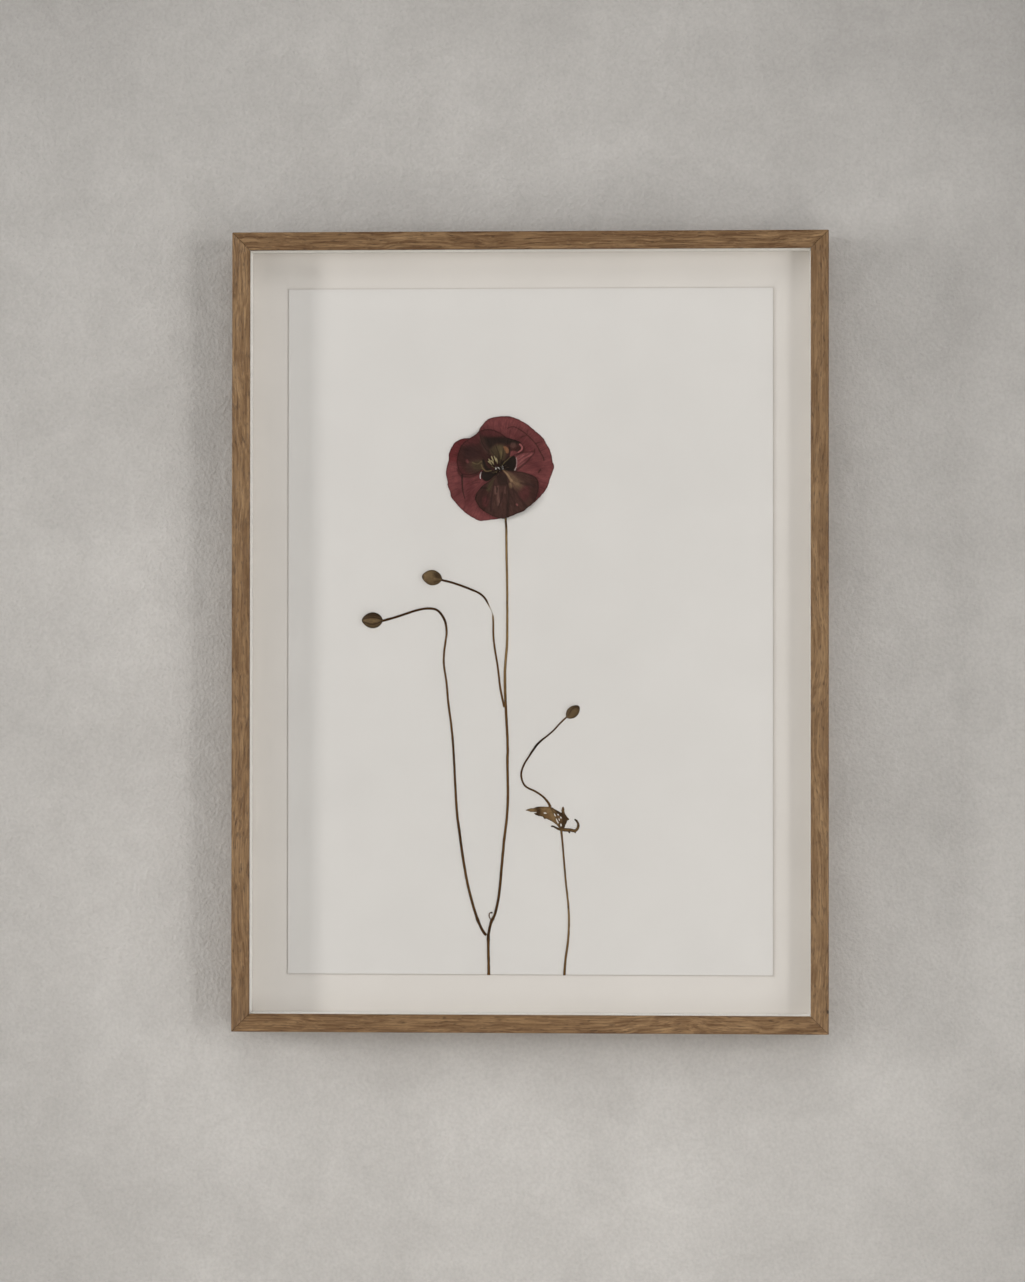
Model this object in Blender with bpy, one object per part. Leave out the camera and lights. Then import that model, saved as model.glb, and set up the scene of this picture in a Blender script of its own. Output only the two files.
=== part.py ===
"""A pressed poppy on a loose sheet of paper, behind glass in a narrow oak box frame.

The frame hangs on a wall: the wall is the plane y = 0, the front faces -Y and +Z is up. The origin
is the point on the wall where a nail carries the hanger. Lengths are in metres, and the points of
the specimen are in millimetres to the right of the frame's centre and above it.
"""

import math

import bmesh
import bpy
from mathutils import Vector

MM = 0.001
GAP = 0.3 * MM

# The sheet is A3, and the frame follows from it. It lies a little to the left of the frame's centre
# and above it
SHEET_WIDTH = 0.297
SHEET_HEIGHT = 0.420
SHEET_THICKNESS = 0.0005
BORDER_SIDE = 0.0223
BORDER_END = 0.0230
SHEET_OFFSET_X = -0.0002
SHEET_OFFSET_Z = 0.0005
OPENING_WIDTH = SHEET_WIDTH + 2 * BORDER_SIDE
OPENING_HEIGHT = SHEET_HEIGHT + 2 * BORDER_END

# Oak rails: a wall, and a lip in front that holds the glass
FACE_WIDTH = 0.0110
WALL_THICKNESS = 0.006
LIP_THICKNESS = 0.002
FRAME_DEPTH = 0.030
ARRIS = 0.0004
FRAME_WIDTH = OPENING_WIDTH + 2 * FACE_WIDTH
FRAME_HEIGHT = OPENING_HEIGHT + 2 * FACE_WIDTH
REBATE_WIDTH = FRAME_WIDTH - 2 * WALL_THICKNESS
REBATE_HEIGHT = FRAME_HEIGHT - 2 * WALL_THICKNESS

# What lies in the rebate, from the glass back to the board
PANEL_PLAY = 0.0005
GLASS_THICKNESS = 0.002
SPACER_DEPTH = 0.012
MOUNT_THICKNESS = 0.0016
BACKING_THICKNESS = 0.003

# Fittings at the back
PAD_THICKNESS = 0.002
PAD_LENGTH = 0.020
PAD_WIDTH = 0.005
PAD_INSET = 0.032
TAB_WIDTH = 0.008
TAB_THICKNESS = 0.0005
TAB_REACH = 0.009
SLOT_DEPTH = 0.003
TABS_ALONG_STILE = (-0.15, 0.0, 0.15)
TABS_ALONG_RAIL = (-0.11, 0.11)
HANG_DROP = 0.026
HANGER_LENGTH = 0.045
HANGER_HEIGHT = 0.009
HANGER_THICKNESS = 0.0008
HANGER_RISE = 0.0025
HANGER_FOOT = 0.0085
HANGER_CORNER = 0.0016
TOOTH_PITCH = 0.003
TOOTH_DEPTH = 0.0015
TEETH = 7
RIVET_RADIUS = 0.0012
RIVET_HEAD_RADIUS = 0.0028
RIVET_DOME_RADIUS = 0.0020
RIVET_HEAD_THICKNESS = 0.0009
RIVET_DEPTH = 0.0018
RIVET_INSET = 0.0045

# Depths, from the wall to the front
BACK_Y = -(PAD_THICKNESS + GAP)
FRONT_Y = BACK_Y - FRAME_DEPTH
LIP_BACK_Y = FRONT_Y + LIP_THICKNESS
GLASS_Y = LIP_BACK_Y + GAP
SPACER_Y = GLASS_Y + GLASS_THICKNESS + GAP
MOUNT_Y = SPACER_Y + SPACER_DEPTH + GAP
BACKING_Y = MOUNT_Y + MOUNT_THICKNESS + GAP
TAB_Y = BACKING_Y + BACKING_THICKNESS + GAP
SHEET_Y = MOUNT_Y - GAP - SHEET_THICKNESS
CENTRE_Z = HANG_DROP - FRAME_HEIGHT / 2

# The dried plant, pressed flat on the sheet
STEM_SIDES = 8
BUD_SIDES = 24
BUD_SLICES = 9
BUD_RIDGES = 8
BUD_RIDGE_HEIGHT = 0.035
BUD_BLUNT_ENDS = 0.02
BUD_SWELL = 0.72
BUD_LEAN = 0.92
DISC_SIDES = 12
STEM_THICKNESS = 1.1 * MM
PRESSED_THICKNESS = 0.5 * MM
PETAL_THICKNESS = 0.25 * MM
LEAF_THICKNESS = 0.6 * MM
CENTRE_THICKNESS = 0.8 * MM
BACK_PETAL_LEVEL = 2 * GAP + PRESSED_THICKNESS
FRONT_PETAL_LEVEL = BACK_PETAL_LEVEL + PETAL_THICKNESS + GAP
CENTRE_LEVEL = FRONT_PETAL_LEVEL + PETAL_THICKNESS + GAP
FLOWER_CENTRE = (-19.0, 99.3)

BACK_RIGHT_PETAL = [
    (-31.0, 121.8), (-30.6, 124.6), (-27.4, 128.4), (-22.4, 131.2), (-14.4, 131.8), (-9.4, 130.9),
    (-3.1, 128.6), (2.5, 124.5), (7.4, 119.2), (11.2, 112.6), (13.3, 106.4), (14.2, 100.1),
    (12.6, 93.3), (10.0, 86.4), (6.2, 81.4), (1.2, 77.6), (-3.5, 78.5), (-9.0, 85.5),
    (-16.0, 97.0), (-17.5, 102.0), (-23.0, 110.5), (-28.5, 117.0),
]
BACK_LEFT_PETAL = [
    (-36.8, 118.2), (-39.9, 118.1), (-44.9, 116.0), (-48.6, 111.0), (-50.5, 104.1), (-51.4, 97.9),
    (-50.8, 89.8), (-48.6, 82.9), (-44.9, 77.3), (-39.2, 71.9), (-31.7, 67.9), (-27.4, 67.9),
    (-21.1, 69.1), (-17.6, 70.2), (-17.2, 77.0), (-18.3, 88.0), (-19.0, 96.5), (-21.5, 102.5),
    (-27.0, 109.5), (-33.0, 115.5),
]
FRONT_TOP_PETAL = [
    (-19.4, 99.9), (-24.5, 98.7), (-29.9, 97.6), (-37.4, 95.3), (-41.8, 96.3), (-44.6, 100.3),
    (-44.9, 106.0), (-43.6, 111.0), (-40.5, 115.3), (-36.2, 118.8), (-31.2, 122.2), (-28.7, 123.5),
    (-24.9, 123.8), (-19.9, 122.4), (-13.7, 119.3), (-11.3, 117.4), (-7.5, 115.8), (-4.7, 112.7),
    (-5.2, 110.6), (-9.3, 107.7), (-13.2, 104.6),
]
FRONT_BOTTOM_PETAL = [
    (-18.1, 98.5), (-11.2, 98.1), (-5.0, 97.4), (0.0, 95.8), (4.0, 92.7), (5.3, 88.4), (4.3, 84.0),
    (1.9, 79.3), (-0.9, 75.9), (-5.0, 73.1), (-11.2, 70.6), (-15.5, 68.9), (-20.5, 69.7),
    (-27.4, 71.9), (-31.4, 75.0), (-33.6, 79.1), (-33.3, 83.5), (-31.4, 87.8), (-24.2, 93.2),
]
STAMENS = 14
STAMEN_REACH = 4.2
PISTIL_RADIUS = 2.1
STAMEN_STEPS = 4

# Each stem's line, from its upper end to its lower one. The main stem starts behind the petals.
MAIN_STEM = [
    (-18.6, 96.5), (-15.6, 78.0), (-14.7, 67.5), (-14.4, 61.5), (-14.3, 49.9), (-13.9, 29.1),
    (-13.8, 7.7), (-13.9, -6.4), (-14.7, -16.8), (-15.2, -27.1), (-14.8, -43.0), (-13.5, -68.1),
    (-13.6, -80.0), (-13.3, -101.7), (-14.2, -115.8), (-15.8, -129.2), (-17.9, -153.0),
    (-19.0, -162.8), (-21.2, -172.6), (-23.4, -177.1), (-24.7, -182.6), (-25.4, -185.9),
]
MAIN_STEM_PRESSED = 3
BASE_STEM = [(-25.5, -186.3), (-25.5, -194.6), (-25.3, -202.0), (-25.2, -209.9)]
LEFT_BUD_STEM = [
    (-89.9, 7.0), (-83.4, 8.7), (-76.4, 11.0), (-70.1, 13.1), (-64.4, 14.3), (-59.5, 14.3),
    (-56.3, 13.1), (-53.5, 9.9), (-51.6, 5.7), (-50.9, 0.1), (-51.4, -4.8), (-52.5, -13.2),
    (-52.5, -20.3), (-51.0, -30.8), (-49.7, -44.1), (-47.9, -57.7), (-46.7, -71.2), (-45.6, -92.0),
    (-44.5, -109.7), (-42.9, -122.5), (-40.8, -137.8), (-38.1, -153.1), (-35.4, -164.1),
    (-32.1, -175.0), (-28.8, -182.4), (-26.8, -184.8),
]
UPPER_BUD_STEM = [
    (-53.4, 31.7), (-48.3, 30.4), (-42.8, 28.6), (-37.0, 26.4), (-31.4, 23.9), (-27.9, 20.8),
    (-25.5, 16.6), (-23.3, 11.6), (-22.7, 7.8), (-22.5, -2.7), (-21.4, -11.9), (-19.8, -21.6),
    (-18.4, -33.6), (-17.1, -41.0),
]
RIGHT_BUD_STEM = [
    (22.0, -52.4), (18.5, -55.7), (12.9, -61.6), (6.6, -66.6), (3.2, -70.3), (-0.5, -75.9),
    (-3.6, -80.9), (-5.2, -85.0), (-5.3, -88.7), (-4.2, -92.5), (-1.7, -95.2), (3.0, -97.4),
    (7.3, -100.2), (10.4, -103.3), (12.4, -106.6),
]
RIGHT_STEM = [
    (19.3, -121.7), (20.2, -132.2), (21.1, -143.2), (22.3, -156.3), (23.5, -167.0), (23.9, -178.0),
    (23.3, -189.0), (21.8, -200.0), (21.1, -209.9),
]
BRACT = [(-23.9, -175.6), (-24.9, -174.2), (-24.9, -172.6), (-24.0, -171.7), (-23.0, -172.0)]
LEAF = [
    (-2.6, -109.1), (2.4, -107.9), (4.6, -107.2), (8.0, -107.0), (12.3, -107.2), (16.6, -109.2),
    (19.3, -110.8), (19.4, -108.6), (20.4, -106.9), (21.2, -108.6), (21.3, -110.6), (22.4, -112.4),
    (24.0, -114.7), (22.9, -116.0), (21.6, -118.6), (20.6, -120.8), (18.6, -120.8), (16.3, -118.0),
    (12.9, -115.5), (9.5, -114.2), (8.3, -113.2), (5.4, -112.6), (2.6, -111.4), (4.2, -110.7),
    (1.5, -110.3),
]
LEAF_LOBE = [
    (13.2, -119.4), (15.2, -119.3), (17.6, -120.4), (20.4, -120.8), (24.7, -121.1), (27.3, -121.5),
    (29.2, -119.9), (29.6, -117.5), (28.2, -115.2),
]

MATERIALS = {
    "oak": ((124, 98, 72), 0.55, 0.0),
    "clear_glass": ((245, 248, 246), 0.02, 0.0),
    "white_spacer": ((222, 217, 209), 0.85, 0.0),
    "mount_card": ((212, 206, 199), 0.9, 0.0),
    "cotton_paper": ((218, 215, 210), 0.9, 0.0),
    "backing_board": ((134, 106, 76), 0.85, 0.0),
    "steel": ((158, 158, 154), 0.35, 1.0),
    "felt": ((104, 100, 94), 1.0, 0.0),
    "red_petal": ((96, 54, 53), 0.7, 0.0),
    "dark_petal": ((56, 34, 32), 0.7, 0.0),
    "flower_eye": ((92, 82, 58), 0.8, 0.0),
    "dry_stem": ((76, 56, 36), 0.75, 0.0),
    "dry_bud": ((84, 67, 46), 0.75, 0.0),
    "dry_leaf": ((92, 72, 46), 0.75, 0.0),
}
SMOOTH_ANGLE = math.radians(40)


def clear_scene():
    for obj in list(bpy.data.objects):
        bpy.data.objects.remove(obj)


def linear(channel):
    """One channel of a screen colour, 0 to 255, as the linear value a material takes."""
    value = channel / 255
    return value / 12.92 if value <= 0.04045 else ((value + 0.055) / 1.055) ** 2.4


def paint(name):
    """The material of that name, made the first time it is asked for."""
    if name in bpy.data.materials:
        return bpy.data.materials[name]
    colour, roughness, metallic = MATERIALS[name]
    made = bpy.data.materials.new(name)
    made.use_nodes = True
    shader = made.node_tree.nodes["Principled BSDF"]
    shader.inputs["Base Color"].default_value = (*map(linear, colour), 1)
    shader.inputs["Roughness"].default_value = roughness
    shader.inputs["Metallic"].default_value = metallic
    if name == "clear_glass":
        shader.inputs["Transmission Weight"].default_value = 1
    return made


def add(name, mesh, material, parent, location=(0, 0, 0), turn=0.0, smooth=False):
    """Puts a mesh in the scene. turn is its angle about the Y axis."""
    mesh.materials.append(paint(material))
    if smooth:
        mesh.shade_smooth()
        mesh.set_sharp_from_angle(angle=SMOOTH_ANGLE)
    obj = bpy.data.objects.new(name, mesh)
    obj.location = location
    obj.rotation_euler = (0, turn, 0)
    obj.parent = parent
    bpy.context.scene.collection.objects.link(obj)
    return obj


def loft(name, rings):
    """The closed mesh that joins each ring of points to the next, with both ends filled."""
    count = len(rings[0])
    bm = bmesh.new()
    made = [[bm.verts.new(point) for point in ring] for ring in rings]
    for one, two in zip(made, made[1:]):
        for i in range(count):
            j = (i + 1) % count
            bm.faces.new((one[i], one[j], two[j], two[i]))
    bm.faces.new(reversed(made[0]))
    bm.faces.new(made[-1])
    bmesh.ops.recalc_face_normals(bm, faces=bm.faces)
    mesh = bpy.data.meshes.new(name)
    bm.to_mesh(mesh)
    bm.free()
    return mesh


def block_mesh(name, width, depth, height):
    """A box centred in x and z, whose front is at y = 0."""
    right, top = width / 2, height / 2
    corners = [(-right, -top), (right, -top), (right, top), (-right, top)]
    return loft(name, [[(x, y, z) for x, z in corners] for y in (0, depth)])


def cut(obj, cutter, name):
    """Takes a hidden cutter out of obj."""
    cutter.hide_render = True
    cutter.display_type = "WIRE"
    modifier = obj.modifiers.new(name, "BOOLEAN")
    modifier.operation = "DIFFERENCE"
    modifier.object = cutter


def smooth_line(points, steps, closed=False):
    """A Catmull-Rom curve through points of any dimension, with that many steps from each to the next."""
    count = len(points)
    places = [Vector(point) for point in points]

    def at(i):
        return places[i % count] if closed else places[min(max(i, 0), count - 1)]

    line = []
    for i in range(count if closed else count - 1):
        before, start, end, after = at(i - 1), at(i), at(i + 1), at(i + 2)
        for step in range(steps):
            t = step / steps
            line.append(
                (2 * start + (end - before) * t
                 + (2 * before - 5 * start + 4 * end - after) * t ** 2
                 + (3 * start - before - 3 * end + after) * t ** 3) / 2
            )
    return line if closed else line + [places[-1]]


def on_sheet(u, v, height):
    """The point at u, v millimetres from the frame's centre and height metres in front of the sheet."""
    return (u * MM, SHEET_Y - height, v * MM)


def rail(name, length, location, turn, parent):
    """One oak rail. Its own X runs along it, and its own -Z points into the frame.
    Both ends are cut at 45 degrees, half a gap short of the corner's diagonal."""
    profile = [
        (ARRIS, FRONT_Y), (FACE_WIDTH - ARRIS, FRONT_Y), (FACE_WIDTH, FRONT_Y + ARRIS),
        (FACE_WIDTH, LIP_BACK_Y), (WALL_THICKNESS, LIP_BACK_Y), (WALL_THICKNESS, BACK_Y),
        (ARRIS, BACK_Y), (0, BACK_Y - ARRIS), (0, FRONT_Y + ARRIS),
    ]
    short = GAP / 2 * math.sqrt(2)
    rings = [
        [(side * (length / 2 - inward - short), y, -inward) for inward, y in profile]
        for side in (-1, 1)
    ]
    return add(name, loft(name, rings), "oak", parent, location, turn)


def tabs(oak, name, places):
    """Flexible steel points, each pushed into a slot in the rail's wall and lying over the backing."""
    reach_in = WALL_THICKNESS - SLOT_DEPTH
    length = SLOT_DEPTH - GAP + TAB_REACH
    slots = loft_boxes(
        f"{name}_slots",
        [(x, TAB_WIDTH + 2 * GAP) for x in places],
        (TAB_Y - GAP, TAB_Y + TAB_THICKNESS + GAP),
        (-WALL_THICKNESS - GAP, -reach_in),
    )
    cut(oak, add(f"{name}_slots", slots, "oak", oak), "slots")
    for number, x in enumerate(places, 1):
        node = f"{name}_{number}"
        mesh = block_mesh(node, TAB_WIDTH, TAB_THICKNESS, length)
        add(node, mesh, "steel", oak, (x, TAB_Y, -(reach_in + GAP + length / 2)))


def loft_boxes(name, spans, depth, height):
    """One mesh of separate boxes: spans gives each one's centre and width along X."""
    bm = bmesh.new()
    for middle, width in spans:
        cube = bmesh.ops.create_cube(bm, size=1)["verts"]
        size = Vector((width, depth[1] - depth[0], height[1] - height[0]))
        centre = Vector((middle, sum(depth) / 2, sum(height) / 2))
        bmesh.ops.scale(bm, vec=size, verts=cube)
        bmesh.ops.translate(bm, vec=centre, verts=cube)
    mesh = bpy.data.meshes.new(name)
    bm.to_mesh(mesh)
    bm.free()
    return mesh


def build_frame(centre):
    """The four rails with their tabs, and the felt pads that keep the frame off the wall."""
    side, end = FRAME_WIDTH / 2, FRAME_HEIGHT / 2
    top = rail("rail_top", FRAME_WIDTH, (0, 0, end), 0, centre)
    bottom = rail("rail_bottom", FRAME_WIDTH, (0, 0, -end), math.pi, centre)
    left = rail("stile_left", FRAME_HEIGHT, (-side, 0, 0), -math.pi / 2, centre)
    right = rail("stile_right", FRAME_HEIGHT, (side, 0, 0), math.pi / 2, centre)
    tabs(top, "tab_top", TABS_ALONG_RAIL)
    tabs(bottom, "tab_bottom", TABS_ALONG_RAIL)
    tabs(left, "tab_left", TABS_ALONG_STILE)
    tabs(right, "tab_right", TABS_ALONG_STILE)
    for oak, height in ((top, "top"), (bottom, "bottom")):
        for x, hand in ((-side + PAD_INSET, "a"), (side - PAD_INSET, "b")):
            name = f"felt_pad_{height}_{hand}"
            mesh = block_mesh(name, PAD_LENGTH, PAD_THICKNESS, PAD_WIDTH)
            add(name, mesh, "felt", oak, (x, -PAD_THICKNESS, -WALL_THICKNESS / 2))


def build_panels(centre):
    """Glass, mount card, sheet and backing, and the four strips that hold the glass off the card."""
    width = REBATE_WIDTH - 2 * PANEL_PLAY
    height = REBATE_HEIGHT - 2 * PANEL_PLAY
    panels = [
        ("glass_pane", GLASS_THICKNESS, GLASS_Y, "clear_glass"),
        ("mount_board", MOUNT_THICKNESS, MOUNT_Y, "mount_card"),
        ("backing_board", BACKING_THICKNESS, BACKING_Y, "backing_board"),
    ]
    boards = {}
    for name, thickness, y, material in panels:
        mesh = block_mesh(name, width, thickness, height)
        boards[name] = add(name, mesh, material, centre, (0, y, 0))
    sheet = block_mesh("paper_sheet", SHEET_WIDTH, SHEET_THICKNESS, SHEET_HEIGHT)
    add("paper_sheet", sheet, "cotton_paper", centre, (SHEET_OFFSET_X, SHEET_Y, SHEET_OFFSET_Z))

    strip = (REBATE_WIDTH - OPENING_WIDTH) / 2 - GAP
    upright = OPENING_HEIGHT - 2 * GAP
    for hand, sign in (("left", -1), ("right", 1)):
        mesh = block_mesh(f"spacer_{hand}", strip, SPACER_DEPTH, upright)
        add(mesh.name, mesh, "white_spacer", centre, (sign * (OPENING_WIDTH + strip) / 2, SPACER_Y, 0))
    for hand, sign in (("bottom", -1), ("top", 1)):
        mesh = block_mesh(f"spacer_{hand}", OPENING_WIDTH + 2 * strip, SPACER_DEPTH, strip)
        add(mesh.name, mesh, "white_spacer", centre, (0, SPACER_Y, sign * (OPENING_HEIGHT + strip) / 2))
    return boards["backing_board"]


def turned(name, profile):
    """A solid turned about the Y axis: profile gives its radius and its y, from one end to the other."""
    turns = [2 * math.pi * i / DISC_SIDES for i in range(DISC_SIDES)]
    return loft(name, [[(r * math.cos(a), y, r * math.sin(a)) for a in turns] for r, y in profile])


def hanger_half(foot_y):
    """The plate's left half as (x, y, lowest z, highest z), from its clipped end to its middle tooth."""
    half = HANGER_LENGTH / 2
    bridge = half - HANGER_FOOT
    raised_y = foot_y + HANGER_RISE
    columns = [
        (-half, foot_y, HANGER_CORNER, HANGER_HEIGHT - HANGER_CORNER),
        (-half + HANGER_CORNER, foot_y, 0, HANGER_HEIGHT),
        (-bridge, foot_y, 0, HANGER_HEIGHT),
        (-bridge + HANGER_RISE, raised_y, 0, HANGER_HEIGHT),
    ]
    for step in range(TEETH):
        notch = TOOTH_DEPTH * (step % 2)
        columns.append(((step - TEETH) * TOOTH_PITCH / 2, raised_y, notch, HANGER_HEIGHT))
    return columns


def build_hanger(backing):
    """A sawtooth plate with flat feet and a raised, toothed middle, riveted to the backing board."""
    board_y = BACKING_Y + BACKING_THICKNESS
    left = hanger_half(board_y + GAP)
    middle = (0, board_y + GAP + HANGER_RISE, TOOTH_DEPTH * (TEETH % 2), HANGER_HEIGHT)
    right = [(-x, y, low, high) for x, y, low, high in reversed(left)]
    rings = [
        [(x, y, low), (x, y, high), (x, y + HANGER_THICKNESS, high), (x, y + HANGER_THICKNESS, low)]
        for x, y, low, high in [*left, middle, *right]
    ]
    plate = add("hanger_plate", loft("hanger_plate", rings), "steel", None)

    head_y = board_y + 2 * GAP + HANGER_THICKNESS
    for name, side in (("hanger_rivet_left", -1), ("hanger_rivet_right", 1)):
        place = (side * (HANGER_LENGTH / 2 - RIVET_INSET), 0, HANGER_HEIGHT / 2)
        rivet = [
            (RIVET_RADIUS, board_y - RIVET_DEPTH),
            (RIVET_RADIUS, head_y),
            (RIVET_HEAD_RADIUS, head_y),
            (RIVET_DOME_RADIUS, head_y + RIVET_HEAD_THICKNESS),
        ]
        add(name, turned(name, rivet), "steel", None, place, smooth=True)
        bore = [(RIVET_RADIUS + GAP, board_y - RIVET_DEPTH - GAP), (RIVET_RADIUS + GAP, head_y)]
        hole = add(f"{name}_hole", turned(f"{name}_hole", bore), "steel", None, place)
        cut(plate, hole, name)
        cut(backing, hole, name)


def flat_piece(name, outline, level, thickness, material, centre, steps=2):
    """A thin flat solid with a smooth outline, parallel to the sheet."""
    line = smooth_line(outline, steps, closed=True)
    rings = [[on_sheet(u, v, height) for u, v in line] for height in (level, level + thickness)]
    return add(name, loft(name, rings), material, centre)


def stem(name, points, width, centre, pressed=0, steps=2, material="dry_stem"):
    """A flattened tube that lies on the sheet. The first pressed points are thin, to pass behind petals."""
    stations = [
        (u, v, PRESSED_THICKNESS if i < pressed else STEM_THICKNESS) for i, (u, v) in enumerate(points)
    ]
    line = smooth_line(stations, steps)
    rings = []
    for i, (u, v, thickness) in enumerate(line):
        ahead, behind = line[min(i + 1, len(line) - 1)], line[max(i - 1, 0)]
        way = Vector((ahead[0] - behind[0], ahead[1] - behind[1])).normalized()
        ring = []
        for side in range(STEM_SIDES):
            angle = 2 * math.pi * (side + 0.5) / STEM_SIDES
            across = width / 2 * math.cos(angle)
            height = GAP + thickness / 2 * (1 + math.sin(angle))
            ring.append(on_sheet(u - way.y * across, v + way.x * across, height))
        rings.append(ring)
    return add(name, loft(name, rings), material, centre, smooth=True)


def bud(name, middle, length, width, thickness, angle, centre):
    """A pressed bud: an egg with lengthwise ridges, widest nearer its tip.
    angle is the way that its tip points, anticlockwise from the right of the sheet."""
    ahead = Vector((math.cos(angle), math.sin(angle)))
    across = Vector((-ahead.y, ahead.x))
    rings = []
    for step in range(BUD_SLICES + 1):
        along = BUD_BLUNT_ENDS + (1 - 2 * BUD_BLUNT_ENDS) * step / BUD_SLICES
        swell = math.sin(math.pi * along ** BUD_LEAN) ** BUD_SWELL
        ring = []
        for side in range(BUD_SIDES):
            turn = 2 * math.pi * side / BUD_SIDES
            radius = swell * (1 + BUD_RIDGE_HEIGHT * math.cos(BUD_RIDGES * turn))
            sideways = width / 2 * radius * math.cos(turn)
            place = Vector(middle) + ahead * length * (along - 0.5) + across * sideways
            height = GAP + thickness / 2 * MM * (1 + BUD_RIDGE_HEIGHT + radius * math.sin(turn))
            ring.append(on_sheet(place.x, place.y, height))
        rings.append(ring)
    return add(name, loft(name, rings), "dry_bud", centre, smooth=True)


def build_flower(centre):
    petals = [
        ("petal_back_right", BACK_RIGHT_PETAL, BACK_PETAL_LEVEL, "red_petal"),
        ("petal_back_left", BACK_LEFT_PETAL, BACK_PETAL_LEVEL, "red_petal"),
        ("petal_front_top", FRONT_TOP_PETAL, FRONT_PETAL_LEVEL, "dark_petal"),
        ("petal_front_bottom", FRONT_BOTTOM_PETAL, FRONT_PETAL_LEVEL, "dark_petal"),
    ]
    for name, outline, level, material in petals:
        flat_piece(name, outline, level, PETAL_THICKNESS, material, centre)
    star = []
    points = STAMENS * STAMEN_STEPS
    for i in range(points):
        angle = 2 * math.pi * i / points
        spread = max(0.0, math.cos(STAMENS * angle))
        radius = PISTIL_RADIUS + (STAMEN_REACH - PISTIL_RADIUS) * spread
        star.append(Vector(FLOWER_CENTRE) + radius * Vector((math.cos(angle), math.sin(angle))))
    flat_piece("flower_centre", star, CENTRE_LEVEL, CENTRE_THICKNESS, "flower_eye", centre, steps=1)


def build_stems(centre):
    stem("main_stem", MAIN_STEM, 1.45, centre, pressed=MAIN_STEM_PRESSED)
    stem("base_stem", BASE_STEM, 1.5, centre)
    stem("left_bud_stem", LEFT_BUD_STEM, 1.3, centre)
    stem("upper_bud_stem", UPPER_BUD_STEM, 1.1, centre)
    stem("right_stem", RIGHT_STEM, 1.25, centre)
    stem("right_bud_stem", RIGHT_BUD_STEM, 1.0, centre)
    stem("bract", BRACT, 0.7, centre)


def build_buds(centre):
    bud("left_bud", (-96.5, 7.0), 12.6, 9.4, 4.4, math.radians(180), centre)
    bud("upper_bud", (-60.2, 33.3), 12.6, 9.2, 4.4, math.radians(171), centre)
    bud("right_bud", (26.4, -49.0), 9.6, 6.3, 3.4, math.radians(43), centre)


def build_leaf(centre):
    """The torn leaf, with the curled lobe that clasps the stem fused to its base."""
    leaf = flat_piece("leaf", LEAF, GAP, LEAF_THICKNESS, "dry_leaf", centre)
    lobe = stem("leaf_lobe", LEAF_LOBE, 1.2, centre, material="dry_leaf")
    lobe.hide_render = True
    lobe.display_type = "WIRE"
    fuse = leaf.modifiers.new("lobe", "BOOLEAN")
    fuse.operation = "UNION"
    fuse.object = lobe


def main():
    clear_scene()
    centre = bpy.data.objects.new("frame_centre", None)
    centre.location = (0, 0, CENTRE_Z)
    bpy.context.scene.collection.objects.link(centre)
    build_frame(centre)
    build_hanger(build_panels(centre))
    build_stems(centre)
    build_leaf(centre)
    build_buds(centre)
    build_flower(centre)


main()
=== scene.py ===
"""Looks for the pressed flower frame: a dried poppy on loose paper, behind glass in slim oak.

Lengths are in metres. The specimen's points are in millimetres to the right of the frame's centre
and above it, and its heights in millimetres in front of the sheet.
"""

import math
import random

import bpy
import numpy as np
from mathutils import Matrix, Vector, noise
from mathutils.geometry import delaunay_2d_cdt


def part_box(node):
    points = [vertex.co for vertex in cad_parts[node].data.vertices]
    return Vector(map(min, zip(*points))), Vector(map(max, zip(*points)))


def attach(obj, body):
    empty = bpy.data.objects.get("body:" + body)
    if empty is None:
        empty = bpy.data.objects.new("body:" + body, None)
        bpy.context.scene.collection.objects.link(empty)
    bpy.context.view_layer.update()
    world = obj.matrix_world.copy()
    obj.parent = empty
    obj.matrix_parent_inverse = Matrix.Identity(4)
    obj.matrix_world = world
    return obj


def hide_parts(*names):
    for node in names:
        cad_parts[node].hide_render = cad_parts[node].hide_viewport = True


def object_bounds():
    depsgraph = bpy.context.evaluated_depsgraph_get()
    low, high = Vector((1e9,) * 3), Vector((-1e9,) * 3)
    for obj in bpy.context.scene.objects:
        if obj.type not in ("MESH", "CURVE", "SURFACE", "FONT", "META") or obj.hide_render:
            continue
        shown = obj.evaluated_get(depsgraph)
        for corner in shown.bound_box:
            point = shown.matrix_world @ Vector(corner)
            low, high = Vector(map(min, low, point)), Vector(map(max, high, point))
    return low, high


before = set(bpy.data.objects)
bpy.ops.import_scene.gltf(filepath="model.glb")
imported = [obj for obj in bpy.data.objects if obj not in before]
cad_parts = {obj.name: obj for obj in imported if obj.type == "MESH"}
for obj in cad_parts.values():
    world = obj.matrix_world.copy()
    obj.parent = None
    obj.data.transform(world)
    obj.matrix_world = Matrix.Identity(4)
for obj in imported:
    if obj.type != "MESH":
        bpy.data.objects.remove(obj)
cad_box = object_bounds()

MM = 0.001
frame_low, frame_high = cad_box
sheet_low, sheet_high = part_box("paper_sheet")
SHEET_Y = sheet_low[1]
FRONT_Y = frame_low[1]
CENTRE_Z = (frame_low[2] + frame_high[2]) / 2
HALF_WIDTH = frame_high[0]
HALF_HEIGHT = frame_high[2] - CENTRE_Z
FACE_WIDTH = 11 * MM
WALL_THICKNESS = 6 * MM
LIP_THICKNESS = 2 * MM
FRAME_DEPTH = 30 * MM

CAMERA_PLACE = (0.1004, -2.3419, -0.2455)
CAMERA_TURN = (math.radians(90.542), math.radians(-0.046), math.radians(2.739))
CAMERA_LENS = 106.74

FLOWER = (-19.0, 99.3)
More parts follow.
